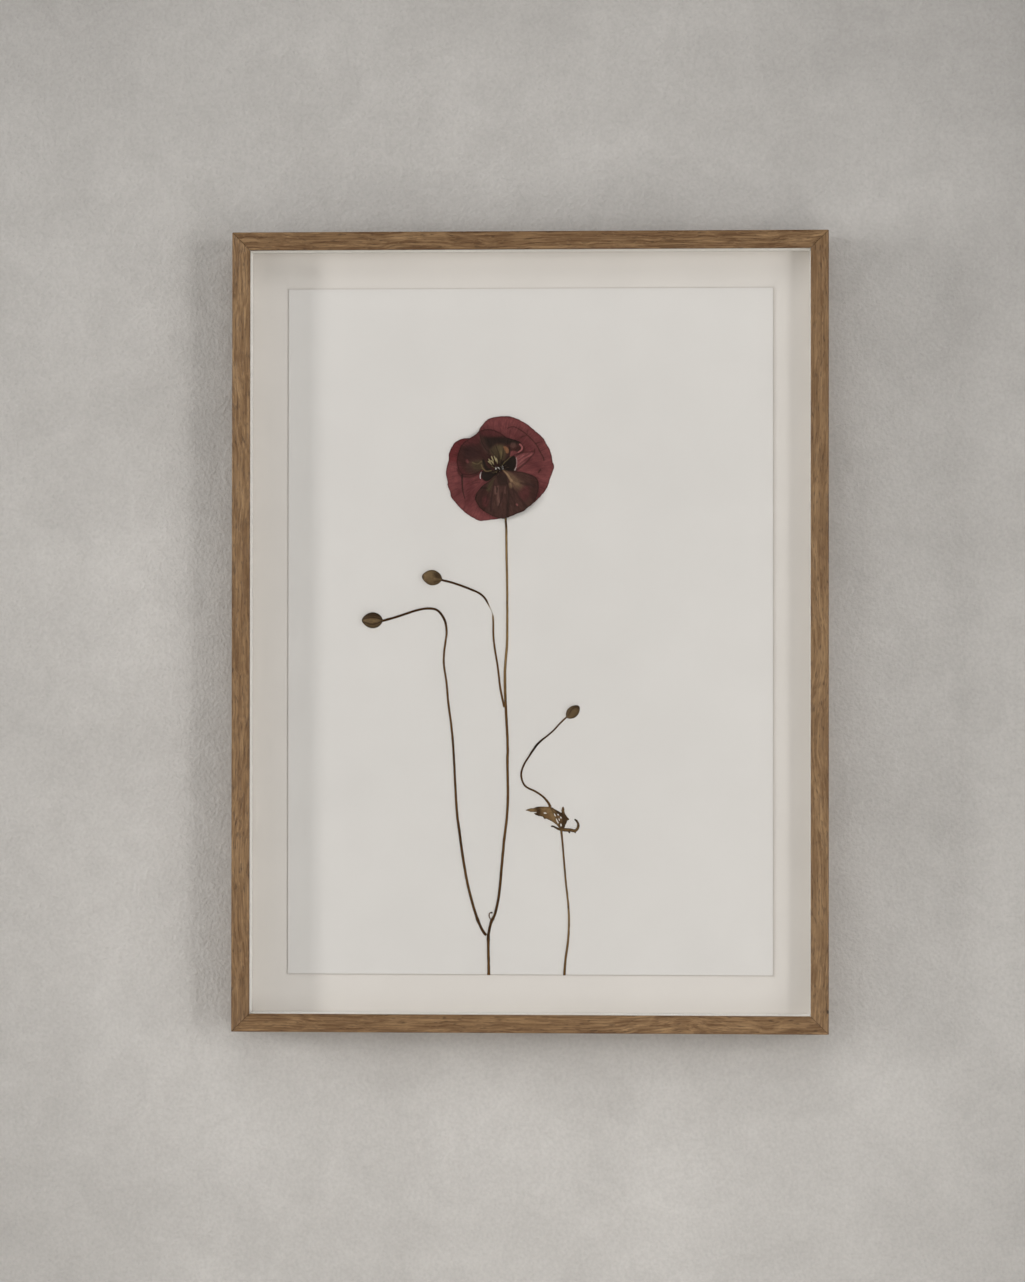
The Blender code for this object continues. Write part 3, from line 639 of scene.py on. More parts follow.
# Each petal's patches are (tone, strength, soft edge in mm, closed outline). Its strokes are
# (tone, strength, start width, end width, softness, line), and its creases (height, width, line).
PETALS = {
    "petal_back_right": dict(
        outline=[
            (-31.0, 120.8), (-32.0, 122.4), (-30.6, 125.6), (-28.0, 128.5), (-24.9, 130.6), (-20.7, 131.5),
            (-14.9, 131.8), (-9.6, 130.7), (-5.4, 128.6), (-1.8, 126.4), (1.4, 123.7), (5.1, 120.6),
            (7.7, 117.9), (9.8, 114.3), (11.4, 111.4), (12.7, 107.6), (13.1, 104.6), (14.1, 100.9),
            (13.3, 97.5), (11.7, 93.4), (10.9, 90.3), (8.8, 86.1), (5.6, 82.4), (2.4, 79.2), (-1.0, 77.0),
            (-4.0, 78.5), (-9.0, 85.5), (-16.0, 97.0), (-17.5, 102.0), (-23.0, 110.5), (-28.5, 117.0),
        ],
        holes=[], level=1.1, base="wine", seed=3.0,
        patches=[
            ("wine_dark", 0.85, 2.4, [(-14, 121.8), (-6, 119.5), (0, 114), (3, 108), (-2, 110),
                (-9, 109.4), (-4.5, 113), (-8, 117)]),
            ("wine_light", 0.7, 2.5, [(-29, 126.5), (-20, 131), (-8, 130), (0, 124.6), (-4, 124),
                (-12, 127.5), (-20, 127.5)]),
            ("wine_light", 0.55, 2.5, [(8.5, 116), (13, 107), (13.5, 98), (10, 88), (8, 93), (9.8, 101),
                (8.6, 109)]),
            ("rose", 0.35, 1.1, [(-9.4, 107.6), (-5, 108.8), (1.4, 109.2), (-0.6, 106.2), (-4, 102.2),
                (-8.6, 99)]),
            ("black", 1.0, 0.3, [(-19.5, 100.4), (-12.2, 107.6), (-9.6, 106.8), (-8.9, 103), (-9.9, 99.8),
                (-11.2, 97.4), (-17.5, 98.0)]),
        ],
        strokes=[
            ("wine_dark", 0.6, 5, 4, 0.9, [(-1.5, 105), (1.5, 102), (4.5, 99.6)]),
            ("wine_light", 0.5, 3, 5, 0.9, [(-7, 99.4), (0, 97), (8, 92)]),
            ("wine_dark", 0.6, 2, 4, 0.9, [(8, 90), (5.5, 84.5), (0.5, 79.5)]),
            ("wine_light", 0.8, 0.9, 0.9, 0.8, [(-18.3, 125.0), (-17.8, 123.6)]),
            ("maroon", 0.9, 0.5, 0.8, 0.6, [(-14.4, 124.4), (-11.7, 125.3), (-9.1, 124.8), (-4.4, 121.9),
                (-0.2, 118.2), (3.5, 114.0), (5.6, 109.8), (7.4, 106.7), (8.0, 104.6)]),
            ("maroon", 0.6, 0.8, 0.5, 0.7, [(-8.1, 117.4), (-6.0, 119.0), (-2.8, 120.1), (-1.8, 122.9)]),
            ("maroon", 0.6, 0.9, 0.6, 0.7, [(3.0, 115.1), (5.1, 115.6), (6.9, 116.2)]),
            ("maroon", 0.7, 0.6, 0.5, 0.6, [(-9.6, 108.2), (-6.5, 109.3), (-1.8, 109.8), (2.2, 109.9)]),
            ("maroon", 0.8, 0.6, 1.4, 0.8, [(2.3, 111.6), (1.8, 108.8), (-0.2, 106.7), (-2.3, 104.0),
                (-5.4, 101.4), (-9.2, 98.3)]),
            ("maroon", 0.95, 0.9, 0.8, 0.6, [(4.6, 97.3), (5.9, 99.0)]),
            # Painted shadow that the front petal's curled edge casts on this petal
            ("maroon", 0.6, 1.2, 1.0, 0.8, [(-4.4, 112.8), (-4.9, 110.0), (-9.0, 108.0)]),
            ("pink", 0.28, 0.3, 0.9, 0.9, [(-8.0, 102.6), (-4.0, 106.0), (0.0, 108.0)]),
            ("pink", 0.25, 0.3, 0.8, 0.9, [(-7.6, 105.4), (-4.6, 107.6)]),
            ("maroon", 0.45, 0.3, 0.6, 0.8, [(-8.0, 101.4), (-4.6, 104.2), (-1.6, 106.4)]),
            ("maroon", 0.4, 0.3, 0.6, 0.8, [(-8.2, 104.2), (-5.0, 106.4), (-1.0, 108.4)]),
            ("chalk", 0.3, 0.4, 0.4, 0.6, [(-9.0, 106.4), (-8.7, 103.4), (-9.0, 100.8)]),
            ("chalk", 0.7, 0.4, 0.6, 0.5, [(-9.1, 100.4), (-9.9, 98.8)]),
        ],
        creases=[
            (-0.24, 0.5, [(-14.4, 124.2), (-11.7, 125.3), (-4.4, 121.9), (0.9, 117.1), (4.0, 113.2),
                (6.1, 109.2), (7.7, 104.6)]),
            (-0.18, 0.45, [(2.3, 111.6), (1.4, 108.3), (-1.8, 104.5), (-5.4, 101.4), (-8.8, 98.9)]),
            (-0.12, 0.4, [(-8.5, 107.8), (-5.4, 109.2), (-1.5, 109.8), (2.6, 109.9)]),
        ],
    ),
    "petal_back_left": dict(
        outline=[
            (-36.6, 117.9), (-38.5, 118.5), (-42.2, 118.0), (-45.4, 116.6), (-48.0, 114.0), (-49.6, 110.9),
            (-50.4, 108.2), (-50.6, 104.6), (-51.4, 101.9), (-52.0, 98.8), (-52.0, 95.6), (-51.0, 91.2),
            (-51.5, 90.1), (-51.0, 88.8), (-49.6, 85.1), (-48.8, 82.0), (-44.8, 77.0), (-40.1, 72.5),
            (-35.4, 69.4), (-32.2, 67.9), (-28.5, 67.7), (-24.9, 68.2), (-21.7, 68.6), (-17.6, 70.2),
            (-17.2, 77.0), (-18.3, 88.0), (-19.0, 96.5), (-21.5, 102.5), (-27.0, 109.5), (-33.0, 115.5),
        ],
        holes=[[(-30.2, 98.0), (-31.1, 96.8), (-31.5, 95.0), (-31.2, 93.7), (-30.8, 93.3), (-30.9, 94.8),
                (-30.6, 96.4)]],
        level=1.1, base="wine", seed=11.0,
        patches=[
            ("wine_rim", 0.7, 0.9, [(-52, 104.0), (-44.6, 103.8), (-44.8, 108), (-43, 112), (-39, 117),
                (-39, 120), (-47, 118), (-51, 111)]),
            ("wine_light", 0.6, 1.6, [(-52, 103.2), (-45.2, 103), (-44.6, 97), (-46.4, 88), (-51, 86),
                (-53, 96)]),
            ("wine_light", 0.75, 2.0, [(-44.5, 78), (-37, 70), (-26, 66), (-22, 69.5), (-28, 71.2),
                (-34, 75)]),
            ("black", 1.0, 0.3, [(-30.5, 95.7), (-29.6, 98.2), (-24, 99.8), (-19.6, 99.8), (-20.2, 97),
                (-22.8, 94.6), (-24.9, 92.7), (-27.4, 91.8), (-29.9, 93.2)]),
        ],
        strokes=[
            ("wine_dark", 0.7, 5, 5, 0.9, [(-38.5, 91), (-37, 85), (-38.5, 79)]),
            ("wine_dark", 0.6, 2, 2, 0.9, [(-46.6, 82), (-44.0, 86.0)]),
            # Painted shadow under the lower edge of the front petal
            ("maroon", 0.75, 1.5, 1.3, 0.8, [(-44.8, 99), (-43.2, 95.8), (-37.5, 94.6), (-32.0, 96.6)]),
            ("soot", 0.95, 1.2, 0.5, 0.5, [(-42.2, 95.8), (-42.2, 90.4), (-41.6, 85.1), (-40.6, 81.4)]),
            ("maroon", 0.5, 0.5, 0.4, 0.7, [(-40.5, 80.6), (-40.2, 78.4), (-41.0, 75.4)]),
            ("maroon", 0.7, 0.5, 0.4, 0.7, [(-36.2, 91.2), (-33.8, 92.4), (-31.0, 92.9)]),
            ("maroon", 0.5, 0.5, 0.4, 0.7, [(-37.4, 89.4), (-34.6, 90.8), (-31.4, 91.2)]),
        ],
        creases=[
            (-0.22, 0.6, [(-42.2, 95.8), (-42.2, 91.4), (-42.0, 87.7), (-41.2, 83.5), (-40.6, 78.5)]),
            (-0.12, 0.4, [(-36.6, 91.0), (-34.4, 92.4), (-31.6, 92.9)]),
        ],
    ),
    "petal_front_top": dict(
        outline=[
            (-19.0, 100.2), (-20.4, 99.8), (-24.3, 97.7), (-27.5, 97.3), (-29.1, 98.3), (-30.3, 98.6),
            (-32.2, 97.2), (-35.4, 95.9), (-38.5, 95.5), (-42.2, 96.2), (-44.3, 98.8), (-45.4, 102.5),
            (-45.1, 107.2), (-43.8, 111.4), (-41.7, 115.1), (-37.6, 118.3), (-34.8, 120.0), (-32.1, 122.3),
            (-28.0, 123.7), (-24.9, 123.7), (-21.2, 122.7), (-17.5, 120.6), (-14.4, 118.5), (-9.1, 117.0),
            (-6.0, 115.2), (-4.6, 112.7), (-5.4, 110.4), (-7.3, 109.0), (-9.6, 107.9), (-12.4, 106.5),
            (-15.8, 103.3),
        ],
        holes=[], level=1.65, base="maroon", seed=23.0,
        patches=[
            ("wine_dark", 0.6, 1.5, [(-42, 114.5), (-37.5, 118.6), (-32, 122.6), (-31, 117), (-34.5, 114)]),
            ("wine_dark", 0.5, 1.4, [(-45.4, 107), (-45.6, 99), (-40, 95), (-36, 96), (-41.5, 99.4),
                (-43.4, 103)]),
            ("soot", 0.6, 2.6, [(-41, 112), (-34, 113.6), (-30.5, 108.5), (-33.5, 104.6), (-40.5, 106)]),
            ("umber", 0.95, 1.6, [(-39, 103.6), (-31, 106), (-28.6, 101), (-33, 97.2), (-39, 97.4)]),
            ("olive", 0.8, 1.6, [(-36.6, 102.6), (-31, 104.8), (-28.4, 103.8), (-30.2, 99.2), (-34, 98.8)]),
            ("umber", 0.9, 1.0, [(-31, 117.5), (-29.5, 111), (-26, 108.6), (-23.4, 111.2), (-26.4, 115),
                (-29.4, 119.4)]),
            ("black", 0.85, 1.3, [(-29.6, 120.4), (-24, 119.6), (-15, 118.4), (-6.5, 116.6), (-9, 114.4),
                (-16, 114.6), (-21, 115), (-25, 111.6), (-28, 115)]),
            ("wine_dark", 0.6, 1.3, [(-31.5, 122.6), (-25, 123.6), (-17.4, 120.6), (-21, 119.2),
                (-29, 119.4)]),
            ("olive", 0.9, 1.1, [(-25.4, 110.4), (-21, 114.4), (-16.4, 113.8), (-15.0, 108.6),
                (-18.4, 102.4), (-22, 106.4)]),
            ("olive_light", 0.35, 0.9, [(-20.6, 112.6), (-18, 113.4), (-16.6, 110.6), (-18.4, 107.4)]),
            ("orange", 1.0, 0.4, [(-16.9, 113.0), (-15.2, 113.0), (-13.6, 111.2), (-13.9, 109.2),
                (-15.0, 109.2), (-15.9, 110.8)]),
            ("mauve", 0.45, 0.8, [(-12.3, 115.2), (-9.8, 115.2), (-9.2, 113.2), (-11.0, 112.2),
                (-12.6, 113.2)]),
            ("wine_light", 0.85, 0.5, [(-13.0, 110.0), (-9.4, 110.2), (-8.2, 108.8), (-10.5, 107.4),
                (-12.8, 106.9)]),
        ],
        strokes=[
            ("wine_light", 0.6, 1.4, 1.2, 0.9, [(-39.2, 104.6), (-38.8, 103.6)]),
            ("black", 1.0, 1.6, 1.9, 0.5, [(-29.2, 104.6), (-28.3, 101.8), (-26.9, 99.4), (-25.2, 98.9)]),
            ("olive_light", 0.95, 0.6, 0.6, 0.5, [(-30.4, 102.0), (-29.5, 99.8), (-27.5, 98.1),
                (-24.4, 98.4)]),
            ("olive_light", 0.6, 0.5, 0.5, 0.6, [(-36.0, 103.6), (-33.0, 102.4), (-30.2, 104.2)]),
            ("black", 0.75, 0.5, 1.1, 0.6, [(-31.4, 121.9), (-30.4, 116.6), (-28.2, 112.4), (-25.6, 109.4)]),
            ("black", 0.7, 0.4, 0.6, 0.6, [(-23.0, 104.6), (-25.4, 107.4), (-27.0, 108.6)]),
            ("black", 0.75, 0.4, 0.6, 0.6, [(-20.8, 104.0), (-22.0, 107.4), (-24.4, 110.6)]),
            ("black", 0.7, 0.4, 0.6, 0.6, [(-19.6, 104.4), (-19.8, 109.0), (-21.4, 113.4)]),
            ("black", 0.7, 0.4, 0.6, 0.6, [(-18.6, 103.6), (-17.2, 108.0), (-17.0, 112.0)]),
            ("olive_light", 0.8, 0.4, 0.6, 0.6, [(-18.9, 103.0), (-18.2, 107.0), (-18.3, 110.4)]),
            ("olive_light", 0.95, 0.6, 0.6, 0.5, [(-18.2, 101.3), (-15.2, 104.2), (-12.2, 106.9)]),
            ("black", 0.9, 0.7, 0.9, 0.5, [(-17.6, 102.6), (-14.0, 106.6), (-13.0, 108.8), (-13.2, 112.4)]),
            ("pink", 0.7, 0.8, 1.1, 0.6, [(-7.8, 109.5), (-5.7, 111.0), (-5.4, 112.8), (-6.6, 114.4)]),
        ],
        creases=[
            (0.22, 0.7, [(-31.1, 122.2), (-30.3, 117.2), (-28.2, 112.8), (-25.4, 108.0)]),
            (-0.2, 0.5, [(-17.6, 102.6), (-13.8, 107.0), (-12.9, 111.4)]),
            (0.3, 0.7, [(-8.2, 109.4), (-5.7, 111.0), (-5.4, 113.2), (-7.8, 115.2)]),
            (-0.15, 0.5, [(-25.0, 104.0), (-31.0, 110.5), (-35.0, 114.0)]),
        ],
    ),
    "petal_front_bottom": dict(
        outline=[
            (-18.1, 98.7), (-14.9, 98.5), (-10.2, 98.0), (-5.4, 97.5), (-0.7, 96.1), (2.5, 94.6), (4.3, 92.0),
            (4.9, 88.8), (4.3, 84.9), (3.2, 81.4), (1.0, 78.2), (-1.6, 75.8), (-5.0, 73.3), (-9.2, 71.7),
            (-14.3, 69.5), (-17.7, 69.0), (-21.0, 69.6), (-26.0, 71.9), (-30.4, 74.8), (-32.9, 78.1),
            (-34.3, 81.2), (-33.5, 84.2), (-32.2, 86.2), (-29.4, 89.4), (-24.2, 93.0),
        ],
        holes=[], level=1.65, base="umber", seed=37.0,
        patches=[
            ("maroon", 0.7, 1.6, [(-1, 97), (5.4, 92), (5.4, 86), (2, 79), (-0.6, 83), (1, 89)]),
            ("wine_dark", 0.6, 1.6, [(-5.6, 88), (-1.4, 88.6), (-0.6, 83.6), (-4, 79.6), (-7.4, 83)]),
            ("maroon", 0.8, 1.6, [(-34.4, 82), (-27.6, 89.4), (-25.6, 84), (-26.4, 76), (-30, 73.6)]),
            ("wine_dark", 0.6, 1.2, [(-29.5, 81.5), (-26.6, 82), (-26.4, 77), (-28.8, 76.6)]),
            ("black", 0.6, 1.2, [(-20.4, 96.4), (-15.8, 96.6), (-14.4, 93.4), (-14.8, 90.2),
                (-17.8, 89.0), (-20.6, 91.2)]),
        ],
        strokes=[
            ("tan", 0.24, 0.8, 5.4, 0.9, [(-16.4, 98.6), (-11.8, 94.8), (-7.6, 89.8)]),
            ("tan", 0.8, 0.4, 1.4, 0.8, [(-17.6, 99.0), (-14.6, 96.2), (-12.9, 93.6), (-12.0, 92.2)]),
            ("tan", 0.3, 1.2, 1.6, 0.9, [(-12.2, 92.4), (-10.2, 91.0), (-8.0, 90.2)]),
            ("tan", 0.5, 1.6, 1.8, 0.9, [(-12.6, 90.2), (-12.0, 88.6)]),
            ("olive", 0.95, 0.8, 2.8, 0.7, [(-21.4, 96.4), (-24.0, 91.4), (-25.8, 87.2)]),
            ("mauve", 0.75, 0.7, 2.0, 0.8, [(-20.2, 88.8), (-20.2, 83.4), (-19.6, 77.6)]),
            ("mauve", 0.7, 0.6, 1.4, 0.7, [(-22.0, 88.6), (-21.6, 84.5)]),
            ("black", 0.6, 0.8, 1.8, 0.9, [(-15.0, 91.8), (-13.8, 87.6), (-13.6, 82.0), (-14.5, 70.6)]),
            ("mauve", 0.45, 0.6, 1.0, 0.8, [(-15.8, 88.4), (-15.9, 84.6)]),
            ("soot", 0.5, 0.5, 0.9, 0.9, [(-11.6, 90.4), (-10.4, 84.0), (-9.8, 76.4)]),
            ("soot", 0.5, 0.5, 0.9, 0.9, [(-27.6, 90.2), (-30.0, 84.4), (-30.8, 78.6)]),
            ("soot", 0.75, 0.5, 1.2, 0.8, [(-22.4, 92.4), (-23.6, 86.0), (-24.4, 79.0), (-24.4, 73.8)]),
            ("black", 0.8, 0.6, 0.8, 0.6, [(-20.4, 87.8), (-20.9, 85.2)]),
            ("soot", 0.9, 0.6, 0.9, 0.6, [(-17.5, 85.0), (-17.8, 81.4)]),
            ("soot", 0.9, 0.6, 1.0, 0.6, [(-18.2, 80.8), (-19.6, 76.4)]),
            ("soot", 0.6, 0.6, 0.8, 0.6, [(-26.4, 84.0), (-27.4, 78.0)]),
            ("soot", 0.6, 1.2, 1.8, 0.9, [(-6.4, 90.8), (-2.4, 89.8), (1.8, 89.2)]),
            ("soot", 0.6, 0.6, 1.2, 0.8, [(-11.6, 88.4), (-7.6, 82.5), (-3.2, 76.8)]),
            ("black", 0.7, 1.3, 1.1, 0.7, [(-30.8, 88.0), (-27.2, 87.6)]),
            ("pink", 0.5, 0.8, 0.8, 0.8, [(-8.8, 77.8), (-8.3, 77.2)]),
        ],
        creases=[
            (0.3, 0.6, [(-18.2, 98.4), (-14.6, 95.8), (-13.4, 92.6), (-15.0, 89.6)]),
            (0.2, 0.6, [(-20.4, 96.0), (-20.8, 92.6), (-18.6, 89.4), (-15.0, 89.6)]),
            (-0.2, 0.6, [(-14.6, 91.5), (-14.5, 84.0), (-14.6, 74.0)]),
            (-0.18, 0.6, [(-22.4, 91.4), (-24.0, 82.0), (-24.4, 74.5)]),
            (0.16, 0.8, [(-20.4, 89.6), (-20.2, 83.6), (-19.4, 76.6)]),
            (-0.14, 0.6, [(-9.0, 92.5), (-3.0, 89.8), (3.8, 88.4)]),
            (-0.14, 0.7, [(-12.0, 89.0), (-7.0, 82.5), (-2.5, 76.5)]),
        ],
    ),
}
PETAL_SPACING = 0.38
PETAL_THICKNESS = 0.1


def petal(name, outline, holes, level, base, seed, patches, strokes, creases):
    """One dried petal: veins and pleats run from the flower's centre to a thin, uneven rim."""
    wavy = even_line(outline, PETAL_SPACING, closed=True)
    away = wavy - np.array(FLOWER)
    reach = np.linalg.norm(away, axis=1)
    turn = np.arctan2(away[:, 1], away[:, 0])
    ripple = noise_at(turn * 9, reach * 0, seed) * 0.26 + noise_at(turn * 34, reach * 0, seed) * 0.3
    wavy += away / reach[:, None] * (ripple * smooth_step(8, 16, reach))[:, None]
    spots, faces = thin_sheet(wavy, holes, PETAL_SPACING)
    away = spots - np.array(FLOWER)
    reach = np.linalg.norm(away, axis=1)
    turn = np.arctan2(away[:, 1], away[:, 0])
    rim, _ = line_reach(spots, np.vstack([wavy, wavy[:1]]))
    open_out = smooth_step(2, 18, reach)
    heights = np.full(len(spots), level + PETAL_THICKNESS)
    heights += 0.1 * open_out * noise_at(turn * 7, reach * 0.05, seed)
    heights += 0.045 * open_out * noise_at(turn * 26, reach * 0.09, seed + 5)
    heights += 0.035 * noise_at(spots[:, 0] * 0.35, spots[:, 1] * 0.35, seed + 9)
    heights += 0.1 * (1 - smooth_step(0.2, 1.6, rim)) * (0.5 + noise_at(turn * 14, reach * 0, seed + 2))
    for depth, width, points in creases:
        heights += crease(spots, points, width, depth)
    heights = np.maximum(heights, level)
    tints = paint(spots, base, strokes, patches)
    veins = 0.17 * noise_at(turn * 15, reach * 0.1, seed + 1)
    veins += 0.26 * noise_at(turn * 44, reach * 0.2, seed + 6)
    blotches = 0.16 * noise_at(spots[:, 0] * 0.3, spots[:, 1] * 0.3, seed + 12)
    shade = 1 + (veins + blotches) * open_out
    # Darker within about a millimetre of the rim: partly the petal's own dark rim, partly painted contact
    # shade
    shade *= 1 - 0.4 * (1 - smooth_step(0.1, 0.9, rim))
    tints *= shade[:, None]
    places, solid = closed_sheet(spots, faces, heights, PETAL_THICKNESS)
    places = moved(places, FLOWER_SHIFT)
    fibres = np.stack([turn, reach, np.full(len(reach), seed)], axis=1)
    finish_piece(
        f"dried_{name}", places, solid, np.vstack([tints, tints]), np.vstack([fibres, fibres]),
        PETAL_MATERIALS[base], [name],
    )


class Shell:
    """Gathers tubes and lumps into one mesh with tints and fibre lines."""

    def __init__(self, shift=(0, 0)):
        self.shift = shift
        self.places, self.faces, self.tints, self.fibres = [], [], [], []

    def add_rings(self, rings, tints, fibres):
        """Joins rings of places (rings, sides, 3) into a closed tube."""
        start = len(self.places)
        count, sides, _ = rings.shape
        self.places += moved(rings, self.shift).reshape(-1, 3).tolist()
        self.tints += tints.reshape(-1, 3).tolist()
        self.fibres += fibres.reshape(-1, 3).tolist()
        for i in range(count - 1):
            for j in range(sides):
                k = (j + 1) % sides
                one, two = start + i * sides, start + (i + 1) * sides
                self.faces.append((one + j, two + j, two + k, one + k))
        self.faces.append(tuple(start + j for j in range(sides)))
        last = start + (count - 1) * sides
        self.faces.append(tuple(last + j for j in reversed(range(sides))))

    def finish(self, name, made, replaced):
        return finish_piece(
            name, np.array(self.places), self.faces, np.array(self.tints), self.fibres, made, replaced
        )


def ways_along(line):
    """The unit direction at each point of a flat line."""
    ways = np.gradient(line[:, :2], axis=0)
    return ways / np.linalg.norm(ways, axis=1)[:, None]


def tube(shell, points, widths, floor, thickness, tint_stops, seed, sides=14, spacing=0.7, rib=0.1,
         edge=0.5, knots=()):
    """A pressed stem: a flattened tube with ribs along it, whose width, height and tint wander.

    widths, thickness and tint_stops hold (share of the length, value) stops. knots are
    (share of the length, extra width, length) swellings."""
    line = even_line(points, spacing)
    count = len(line)
    along = np.linspace(0, 1, count)
    length = np.linalg.norm(np.diff(line, axis=0), axis=1).sum()
    travelled = along * length
    ways = ways_along(line)
    across = np.stack([-ways[:, 1], ways[:, 0]], axis=1)
    width = np.interp(along, *zip(*widths))
    tall = np.interp(along, *zip(*thickness))
    low = np.interp(along, *zip(*floor))
    width = width * (1 + 0.09 * noise_at(travelled * 0.32, travelled * 0, seed))
    width = width * (1 + 0.05 * noise_at(travelled * 1.3, travelled * 0, seed + 3))
    for middle, extra, reach in knots:
        width = width + extra * np.exp(-(((along - middle) * length) / reach) ** 2)
    sway = 0.09 * noise_at(travelled * 0.22, travelled * 0, seed + 7)
    angles = 2 * math.pi * (np.arange(sides) + 0.5) / sides
    cosines, sines = np.cos(angles), np.sin(angles)
    ribs = 1 + rib * noise_at(
        np.cos(angles)[None, :] * 1.7 + travelled[:, None] * 0.03,
        np.sin(angles)[None, :] * 1.7 + travelled[:, None] * 0, seed,
    ).reshape(count, sides)
    sideways = width[:, None] / 2 * cosines[None, :] * ribs + sway[:, None]
    heights = low[:, None] + tall[:, None] / 2 * (1 + sines[None, :] * ribs)
    dent = 0.22 * tall[:, None] * np.exp(-((cosines[None, :]) / 0.35) ** 2) * (sines[None, :] > 0)
    heights = heights - dent
    u = line[:, 0][:, None] + across[:, 0][:, None] * sideways
    v = line[:, 1][:, None] + across[:, 1][:, None] * sideways
    rings = on_sheet(u, v, heights)
    stops, names = zip(*tint_stops)
    tones = np.array([tone(n) for n in names])
    base = np.stack([np.interp(along, stops, tones[:, k]) for k in range(3)], axis=1)
    flow = 1 + 0.22 * noise_at(travelled * 0.35, travelled * 0, seed + 13)
    flow -= 0.4 * smooth_step(0.3, 0.5, noise_at(travelled * 0.45, travelled * 0, seed + 17))
    # Painted shade: the tube's flanks, turned away from the front, are darkened by up to the edge setting
    shade = 1 - edge * np.abs(cosines[None, :]) ** 2.2
    tints = base[:, None, :] * (flow[:, None] * shade)[:, :, None]
    fibres = np.stack(np.broadcast_arrays(
        (angles * width.mean() / 2)[None, :], travelled[:, None], np.full((1, 1), seed)), axis=-1)
    shell.add_rings(rings, tints, fibres)
    return line


def hair(shell, root, way, length, radius, colour, seed):
    """One fine hair, three-sided, that bends as it leaves its root. way is in (u, v, height)."""
    steps = np.linspace(0, 1, 4)
    bend = np.array([noise.noise((seed, 1.3, 0.2)), noise.noise((seed, 7.7, 3.1)), 0.0]) * 0.5
    spine = np.array(root) + np.outer(steps * length, way) + np.outer(steps ** 2 * length, bend)
    side = np.array([-way[1], way[0], 0.0])
    side /= np.linalg.norm(side) + 1e-9
    up = np.array([0.0, 0.0, 1.0])
    angles = 2 * math.pi * np.arange(3) / 3
    thin = radius * (1 - 0.8 * steps)
    points = (spine[:, None, :] + thin[:, None, None] * (
        np.cos(angles)[None, :, None] * side + np.sin(angles)[None, :, None] * up))
    points[:, :, 2] = np.maximum(points[:, :, 2], 0.03)
    rings = on_sheet(points[..., 0], points[..., 1], points[..., 2])
    tints = np.tile(colour, (4, 3, 1))
    fibres = np.zeros((4, 3, 3))
    shell.add_rings(rings, tints, fibres)


def hairs_along(shell, line, per_mm, lengths, width, height, colour, dice):
    """Spreads fine hairs along both sides of a stem's line."""
    ways = ways_along(line)
    step = np.linalg.norm(np.diff(line, axis=0), axis=1).mean()
    for _ in range(int(len(line) * step * per_mm)):
        i = dice.randrange(len(line) - 1)
        side = dice.choice((-1, 1))
        way = ways[i]
        out = np.array([-way[1], way[0]]) * side
        lean = dice.uniform(-0.5, 0.9)
        flat = out + way * lean
        flat = flat / np.linalg.norm(flat)
        rise = dice.uniform(-0.25, 0.35)
        start = line[i, :2] + out * width / 2 * 0.8 + way * dice.uniform(-0.3, 0.3)
        root = (*start, height)
        reach = dice.uniform(*lengths)
        hair(shell, root, np.array([*flat, rise]), reach, 0.035, colour, dice.uniform(0, 99))


MAIN_STEM = [
    (-18.6, 96.5), (-15.6, 78.0), (-14.7, 67.5), (-14.4, 61.5), (-14.3, 49.9), (-13.9, 29.1),
    (-13.8, 7.7), (-13.9, -6.4), (-14.7, -16.8), (-15.2, -27.1), (-14.8, -43.0), (-13.5, -68.1),
    (-13.6, -80.0), (-13.3, -101.7), (-14.2, -115.8), (-15.8, -129.2), (-17.9, -153.0),
    (-19.0, -162.8), (-21.2, -172.6), (-23.4, -177.1), (-24.7, -182.6), (-25.4, -186.2),
]
BASE_STEM = [(-25.5, -185.6), (-25.5, -194.6), (-25.3, -202.0), (-25.2, -209.9)]
LEFT_BUD_STEM = [
    (-91.4, 6.7), (-89.9, 7.0), (-83.4, 8.7), (-76.4, 11.0), (-70.1, 13.1), (-64.4, 14.3), (-59.5, 14.3),
    (-56.3, 13.1), (-53.5, 9.9), (-51.6, 5.7), (-50.9, 0.1), (-51.4, -4.8), (-52.5, -13.2),
    (-52.5, -20.3), (-51.0, -30.8), (-49.7, -44.1), (-47.9, -57.7), (-46.7, -71.2), (-45.6, -92.0),
    (-44.5, -109.7), (-42.9, -122.5), (-40.8, -137.8), (-38.1, -153.1), (-35.4, -164.1),
    (-32.1, -175.0), (-28.8, -182.4), (-26.4, -185.6),
]
UPPER_BUD_STEM = [
    (-54.8, 32.0), (-53.4, 31.7), (-48.3, 30.4), (-42.8, 28.6), (-37.0, 26.4), (-31.4, 23.9), (-27.9, 20.8),
    (-25.5, 16.6), (-23.3, 11.6), (-22.7, 7.8), (-22.5, -2.7), (-21.4, -11.9), (-19.8, -21.6),
    (-18.4, -33.6), (-16.8, -41.6), (-15.9, -46.0),
]
RIGHT_BUD_STEM = [
    (23.4, -51.2), (22.4, -52.0), (18.5, -55.7), (12.9, -61.6), (6.6, -66.6), (3.2, -70.3), (-0.5, -75.9),
    (-3.6, -80.9), (-5.2, -85.0), (-5.3, -88.7), (-4.2, -92.5), (-1.7, -95.2), (3.0, -97.4),
    (7.3, -100.2), (10.4, -103.3), (12.6, -107.0),
]
RIGHT_STEM = [
    (19.1, -120.9), (20.2, -132.2), (21.1, -143.2), (22.3, -156.3), (23.5, -167.0), (23.9, -178.0),
    (23.3, -189.0), (21.8, -200.0), (21.1, -209.9),
]
BRACT = [(-23.9, -176.2), (-24.9, -174.2), (-24.9, -172.6), (-24.0, -171.7), (-23.0, -172.0)]
